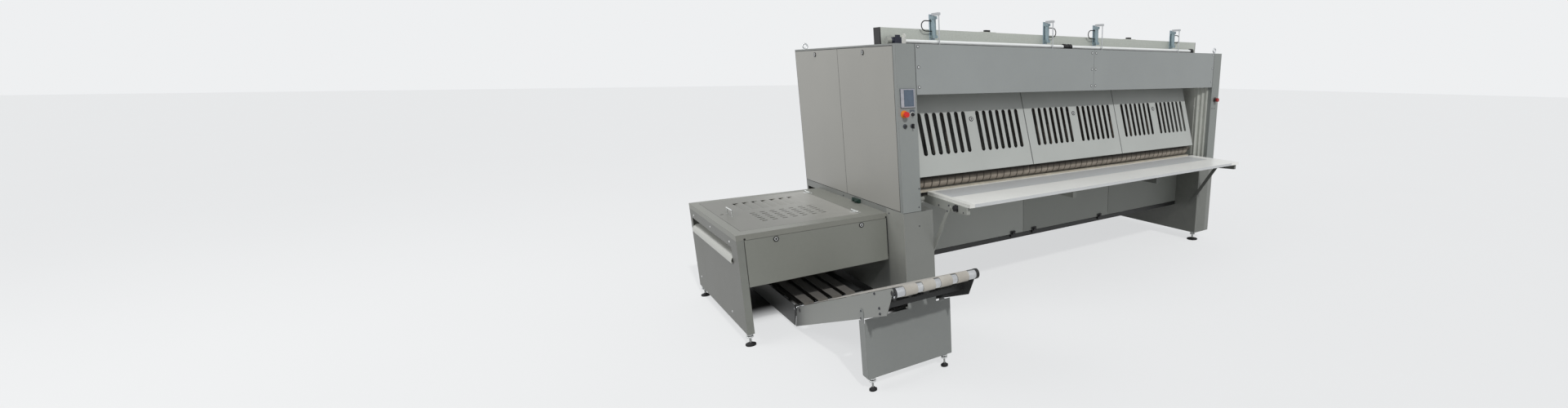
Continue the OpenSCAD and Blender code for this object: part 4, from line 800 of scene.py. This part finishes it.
def lid_seal():
    """Dark seal round the stacker's lid."""
    inner, outer = 0.3, 1.6
    low, high = span("stacker_lid")
    x0, x1, y0, y1 = low.x, LID_X1 - LID_GAP, low.y, high.y
    p = Piece()
    for a, b in (((x0 - outer, y0 - outer), (x1 + outer, y0 - inner)),
                 ((x0 - outer, y1 + inner), (x1 + outer, y1 + outer)),
                 ((x0 - outer, y0 - inner), (x0 - inner, y1 + inner)),
                 ((x1 + inner, y0 - inner), (x1 + outer, y1 + inner))):
        p.block((*a, LID_TOP - 2.4), (*b, LID_TOP - 0.2), 0.1)
    p.add("lid_seal", "rubber", "black_plastic")


def stacker_fasteners():
    """Screws and a plug in the stacker's side panel, plugs above its front panel and that panel's seal."""
    screw_places = ((1523, 740), (984, 748), (456, 744), (1542, 199), (623, 167))
    corner_x, above_panel = (-1071, -9), 10
    plug_y, plug_z = 425, 595
    seal_foot, seal_top = 486, 772
    p = Piece()
    for y, z in screw_places:
        p.screw((side_x0, y, z), LEFT, 8)
    p.add("stacker_screws", "screw", "steel")
    p = Piece()
    for x in corner_x:
        p.turned((x, side_y, front_panel[1].z + above_panel), FRONT,
                 [(7, -0.5), (7, 1), (5.5, 2), (3, 2), (2.8, 0.8)])
    p.turned((side_x0, plug_y, plug_z), LEFT, [(9, -0.5), (9, 0.8), (7.5, 1.2), (7, 1.2), (6.8, 0.4)])
    p.block((front_panel[1].x + 0.8, side_y - 0.5, seal_foot), (0.3, side_y + 3, seal_top), 0.5)
    p.add("stacker_seal", "rubber", "black_plastic")


def conveyor_bolts():
    """Bolts of the conveyor's side plates and of the stand's ears."""
    left_places = ((-828, 531), (-820, 482), (-1021, 695), (-1072, 622), (-1077, 590))
    right_places = ((-874, 559), (-876, 525))
    right_inset = 40
    low, high = span("incline_frame")
    p = Piece()
    for y, z in left_places:
        p.hex_bolt((low.x, y, z), LEFT, 6)
    for y, z in right_places:
        p.hex_bolt((high.x - right_inset, y, z), LEFT, 6)
    p.add("conveyor_bolts", "dark_bolt", "black_plastic")


def roller_bearings():
    """Black bearings and caps at both ends of the conveyor's rollers, a strip and a plate at its tail."""
    bearing = [(28.8, 0), (31, 0), (31, 12), (28.8, 12)]
    right_cap = [(30, 0), (30, 5), (28, 7), (14, 7), (13, 5)]
    left_cap = [(16, 0), (16, 2), (14, 3), (11, 3), (10.5, 2)]
    p = Piece()
    for roller in ("incline_front_roller", "incline_tail_roller"):
        low, high = span(roller)
        y, z = (low.y + high.y) / 2, (low.z + high.z) / 2
        x0, x1 = low.x + 1, high.x - 1
        p.turned((x0 + 3, y, z), RIGHT, bearing, ring=True)
        p.turned((x1 - 3, y, z), LEFT, bearing, ring=True)
        p.turned((x1 - 1, y, z), RIGHT, right_cap)
        p.turned((x0 + 1, y, z), LEFT, left_cap)
    strip = ((353, 200), (364, 158), (380, 96), (397, 34))
    plate_low, plate_high = (340, 172), (372, 196)
    x = span("incline_frame")[0].x
    p.bent([(x, y, z) for y, z in strip], 3.5)
    p.block((x - 2, *plate_low), (x + 1, *plate_high), 1.5)
    p.add("roller_bearings", "black", "black_plastic")


def arm_bolts():
    """Bolts of the struts and the bracket plates at the table's arms."""
    strut_x, plate_x, plate_z = 257, 265, 908
    strut_places = ((-236, 933), (-211, 886))
    p = Piece()
    for y, z in strut_places:
        p.hex_bolt((strut_x, y, z), LEFT, 5)
        p.hex_bolt((right_in, y, z), LEFT, 5)
    for y, r in ((-416, 5), (-80, 7)):
        p.screw((plate_x, y, plate_z), LEFT, r)
    p.add("arm_bolts", "dark_bolt", "black_plastic")


def panel_latches():
    """Black latch plates with a round grip on the two hinged lower panels."""
    front, rear, grip_rear = 288, 298, 289
    latch_in, half_w = 128, 28
    foot, top, grip_z = 402, 460, 436
    for body in ("lower_panel_left", "lower_panel_middle"):
        low, high = span(body)
        p = Piece()
        for x in (low.x + latch_in, high.x - latch_in):
            p.block((x - half_w, front, foot), (x + half_w, rear, top), 2.5)
            p.turned((x, grip_rear, grip_z), FRONT, [(15, 0), (15, 10), (13, 12), (6, 12), (5, 10)])
        p.add(body + "_latches", "black", "black_plastic", body)


def guard_seals():
    """Dark strips behind the seams between the guards, fixed to the frame at the hinge."""
    behind = 9.0
    strip = (30, 240, 450, 660)
    p = Piece()
    for left, right in zip(guard_box, guard_box[1:]):
        x = (left[1].x + right[0].x) / 2
        p.bent([guard_place(x, along, -behind) for along in strip], 3.6)
    p.add("guard_seals", "rubber", "black_plastic")


def rear_fittings():
    """Filter mats behind the rear vents and seals behind the seams of the rear covers."""
    vent_in, vent_foot, vent_top, mat_t = 170, 342, 158, 6
    seal_left, seal_right, seal_t, low_foot = 5, 9, 4, 455
    lap_below, lap_above, roof_gap = 3, 13, 18
    behind = 3.5
    back = span("outer_covers")[1].y - behind
    left = fascia[0].x - SEAM
    low_left = span("left_pedestal")[1].x
    third, low_third = (right_in - left) / 3, (right_in - low_left) / 3
    p = Piece()
    for i in range(3):
        p.block((left + i * third + vent_in, back - mat_t, roof - vent_foot),
                (left + (i + 1) * third - vent_in, back, roof - vent_top), 0.5)
    p.add("vent_filters", "rubber", "black_plastic")
    p = Piece()
    front, foot, top = back - seal_t, ped_top - lap_below, ped_top + lap_above
    p.block((low_left, front, foot), (right_in, back, top), 0.4)
    for i in (1, 2):
        x = left + i * third
        p.block((x - seal_left, front, top), (x + seal_right, back, roof - roof_gap), 0.4)
        x = low_left + i * low_third
        p.block((x - seal_left, front, low_foot), (x + seal_right, back, foot), 0.4)
    p.add("cover_seals", "rubber", "black_plastic")


def foot_places():
    """Middles of the levelling feet, found from the loose parts of their node."""
    bm = bmesh.new()
    bm.from_mesh(nodes["levelling_feet"].data)
    bm.verts.ensure_lookup_table()
    seen = set()
    places = []
    for start in bm.verts:
        if start.index in seen:
            continue
        todo, part = [start], []
        seen.add(start.index)
        while todo:
            v = todo.pop()
            part.append(v.co.copy())
            for e in v.link_edges:
                o = e.other_vert(v)
                if o.index not in seen:
                    seen.add(o.index)
                    todo.append(o)
        x = [(c.x - corner[0]) / MM for c in part]
        y = [(c.y - corner[1]) / MM for c in part]
        places.append(((min(x) + max(x)) / 2, (min(y) + max(y)) / 2))
    bm.free()
    return sorted({(round(x), round(y)) for x, y in places})


def foot_nuts():
    """Lock nuts on the spindles of the levelling feet."""
    heights = (60, 78)
    p = Piece()
    for x, y in foot_places():
        for z in heights:
            p.turned((x, y, z), UP, [(13, 0), (13, 9), (12, 10)], 6)
    p.add("foot_nuts", "screw", "steel")


fascia_screws()
column_screws()
operator_screen()
control_tags()
locks()
stacker_fasteners()
conveyor_bolts()
roller_bearings()
arm_bolts()
panel_latches()
guard_seals()
rear_fittings()
foot_nuts()
door_seals()
fascia_seals()
column_seals()
lid_seal()


# Studio

# The backdrop's colour, and the colour and strength of the light from all round
PALE = (0.86, 0.87, 0.88, 1)
AMBIENT = (0.93, 0.95, 1.0, 1)
AMBIENT_STRENGTH = 0.46


def backdrop_ray(tree):
    """1 for the rays that show the pale background: camera, glossy and transmission rays."""
    path = tree.nodes.new("ShaderNodeLightPath")
    value = path.outputs["Is Camera Ray"]
    for kind in ("Is Glossy Ray", "Is Transmission Ray"):
        either = tree.nodes.new("ShaderNodeMath")
        either.operation = "MAXIMUM"
        tree.links.new(value, either.inputs[0])
        tree.links.new(path.outputs[kind], either.inputs[1])
        value = either.outputs[0]
    return value


def floor_material():
    """Pale floor with soft shadows for camera, metal and glass, grey for the light it throws back.

    The floor is darker under the stacker and under the left pedestal, where no light gets in.
    """
    under_stacker = (side_x0 + 20, side_x0 + 180, 650, 1050)
    under_pedestal = (-120, 0, 110, 230)
    right_edge, rear_edge = (330, 250), (1780, 1620)
    s = Shader("floor_pale")
    under = 0.0
    for x0, x1, y0, y1 in (under_stacker, under_pedestal):
        spot = s.math("MULTIPLY", s.fade("x", x0, x1), s.fade("x", *right_edge))
        for start, end in ((y0, y1), rear_edge):
            spot = s.math("MULTIPLY", spot, s.fade("y", start, end))
        under = s.math("MAXIMUM", spot, under)
    dark = linear(34, 34, 32)
    s.look(s.mix(under, s.uneven(linear(225, 225, 223), 0.01, 0.6), dark), 0.8)
    s.bump(s.noise(60.0), 0.02, 0.001)
    glow = s.node("ShaderNodeEmission", Color=PALE, Strength=1.0)
    grey = s.node("ShaderNodeBsdfDiffuse")
    s.put(s.mix(under, linear(196, 196, 194), dark), grey.inputs["Color"])
    seen = s.node("ShaderNodeMixShader")
    s.put(s.range(under, 0.74, 0.0), seen.inputs["Fac"])
    s.put(s.bsdf.outputs[0], seen.inputs[1])
    s.put(glow.outputs[0], seen.inputs[2])
    choose = s.node("ShaderNodeMixShader")
    s.put(backdrop_ray(s.tree), choose.inputs["Fac"])
    s.put(grey.outputs[0], choose.inputs[1])
    s.put(seen.outputs[0], choose.inputs[2])
    s.put(choose.outputs[0], s.tree.nodes["Material Output"].inputs["Surface"])
    return s.mat


FLOOR_X, FLOOR_FRONT, FLOOR_REAR = 60, -40, 80
floor_corners = [(-FLOOR_X, FLOOR_FRONT, 0), (FLOOR_X, FLOOR_FRONT, 0),
                 (FLOOR_X, FLOOR_REAR, 0), (-FLOOR_X, FLOOR_REAR, 0)]
floor_mesh = bpy.data.meshes.new("floor")
floor_mesh.from_pydata(floor_corners, [], [(0, 1, 2, 3)])
floor = bpy.data.objects.new("floor", floor_mesh)
bpy.context.scene.collection.objects.link(floor)
floor.data.materials.append(floor_material())

world = bpy.data.worlds.new("studio")
bpy.context.scene.world = world
world.use_nodes = True
sky = world.node_tree
ambient = sky.nodes["Background"]
ambient.inputs["Color"].default_value = AMBIENT
ambient.inputs["Strength"].default_value = AMBIENT_STRENGTH
pale = sky.nodes.new("ShaderNodeBackground")
pale.inputs["Color"].default_value = PALE
pale.inputs["Strength"].default_value = 1.0
choose = sky.nodes.new("ShaderNodeMixShader")
sky.links.new(backdrop_ray(sky), choose.inputs["Fac"])
sky.links.new(ambient.outputs[0], choose.inputs[1])
sky.links.new(pale.outputs[0], choose.inputs[2])
sky.links.new(choose.outputs[0], sky.nodes["World Output"].inputs["Surface"])


def lamp(kind, name, place, target, energy, **values):
    """A lamp at a place in the machine's millimetres, turned to a target."""
    data = bpy.data.lights.new(name, kind)
    data.energy = energy
    for key, value in values.items():
        setattr(data, key, value)
    light = bpy.data.objects.new(name, data)
    light.location = at(*place)
    light.rotation_euler = (at(*target) - at(*place)).to_track_quat("-Z", "Y").to_euler()
    light.visible_camera = False
    bpy.context.scene.collection.objects.link(light)


lamp("SUN", "key", (400, -7600, 7200), (1200, 0, 820), 1.75, angle=math.radians(2.0))
lamp("AREA", "side_fill", (-6500, 1500, 5600), (0, 800, 1700), 230,
     shape="RECTANGLE", size=5.0, size_y=3.0)
lamp("AREA", "rear_window", (1100, 6300, 1850), (-450, 900, 823), 0.8,
     shape="RECTANGLE", size=0.35, size_y=1.2)


# The photo's camera: focal length and optical centre in the photo's pixels, place, and turn in degrees

PHOTO_W, PHOTO_H = 1920, 500
FOCAL_PX, CENTRE_X_PX, CENTRE_Y_PX = 751.8, 1253.2, 289.6
CAMERA_PLACE = (-2170, -4064, 1908)
CAMERA_TURN = (74.91, -0.12, -39.42)
camera_data = bpy.data.cameras.new("photo_camera")
camera_data.sensor_width = 36.0
camera_data.lens = camera_data.sensor_width * FOCAL_PX / PHOTO_W
camera_data.shift_x = (PHOTO_W / 2 - CENTRE_X_PX) / PHOTO_W
camera_data.shift_y = (CENTRE_Y_PX - PHOTO_H / 2) / PHOTO_W
camera_data.clip_end = 200
camera = bpy.data.objects.new("photo_camera", camera_data)
camera.location = at(*CAMERA_PLACE)
camera.rotation_euler = Euler([math.radians(a) for a in CAMERA_TURN], "XYZ")
bpy.context.scene.collection.objects.link(camera)
bpy.context.scene.camera = camera
bpy.context.scene.view_settings.view_transform = "Standard"
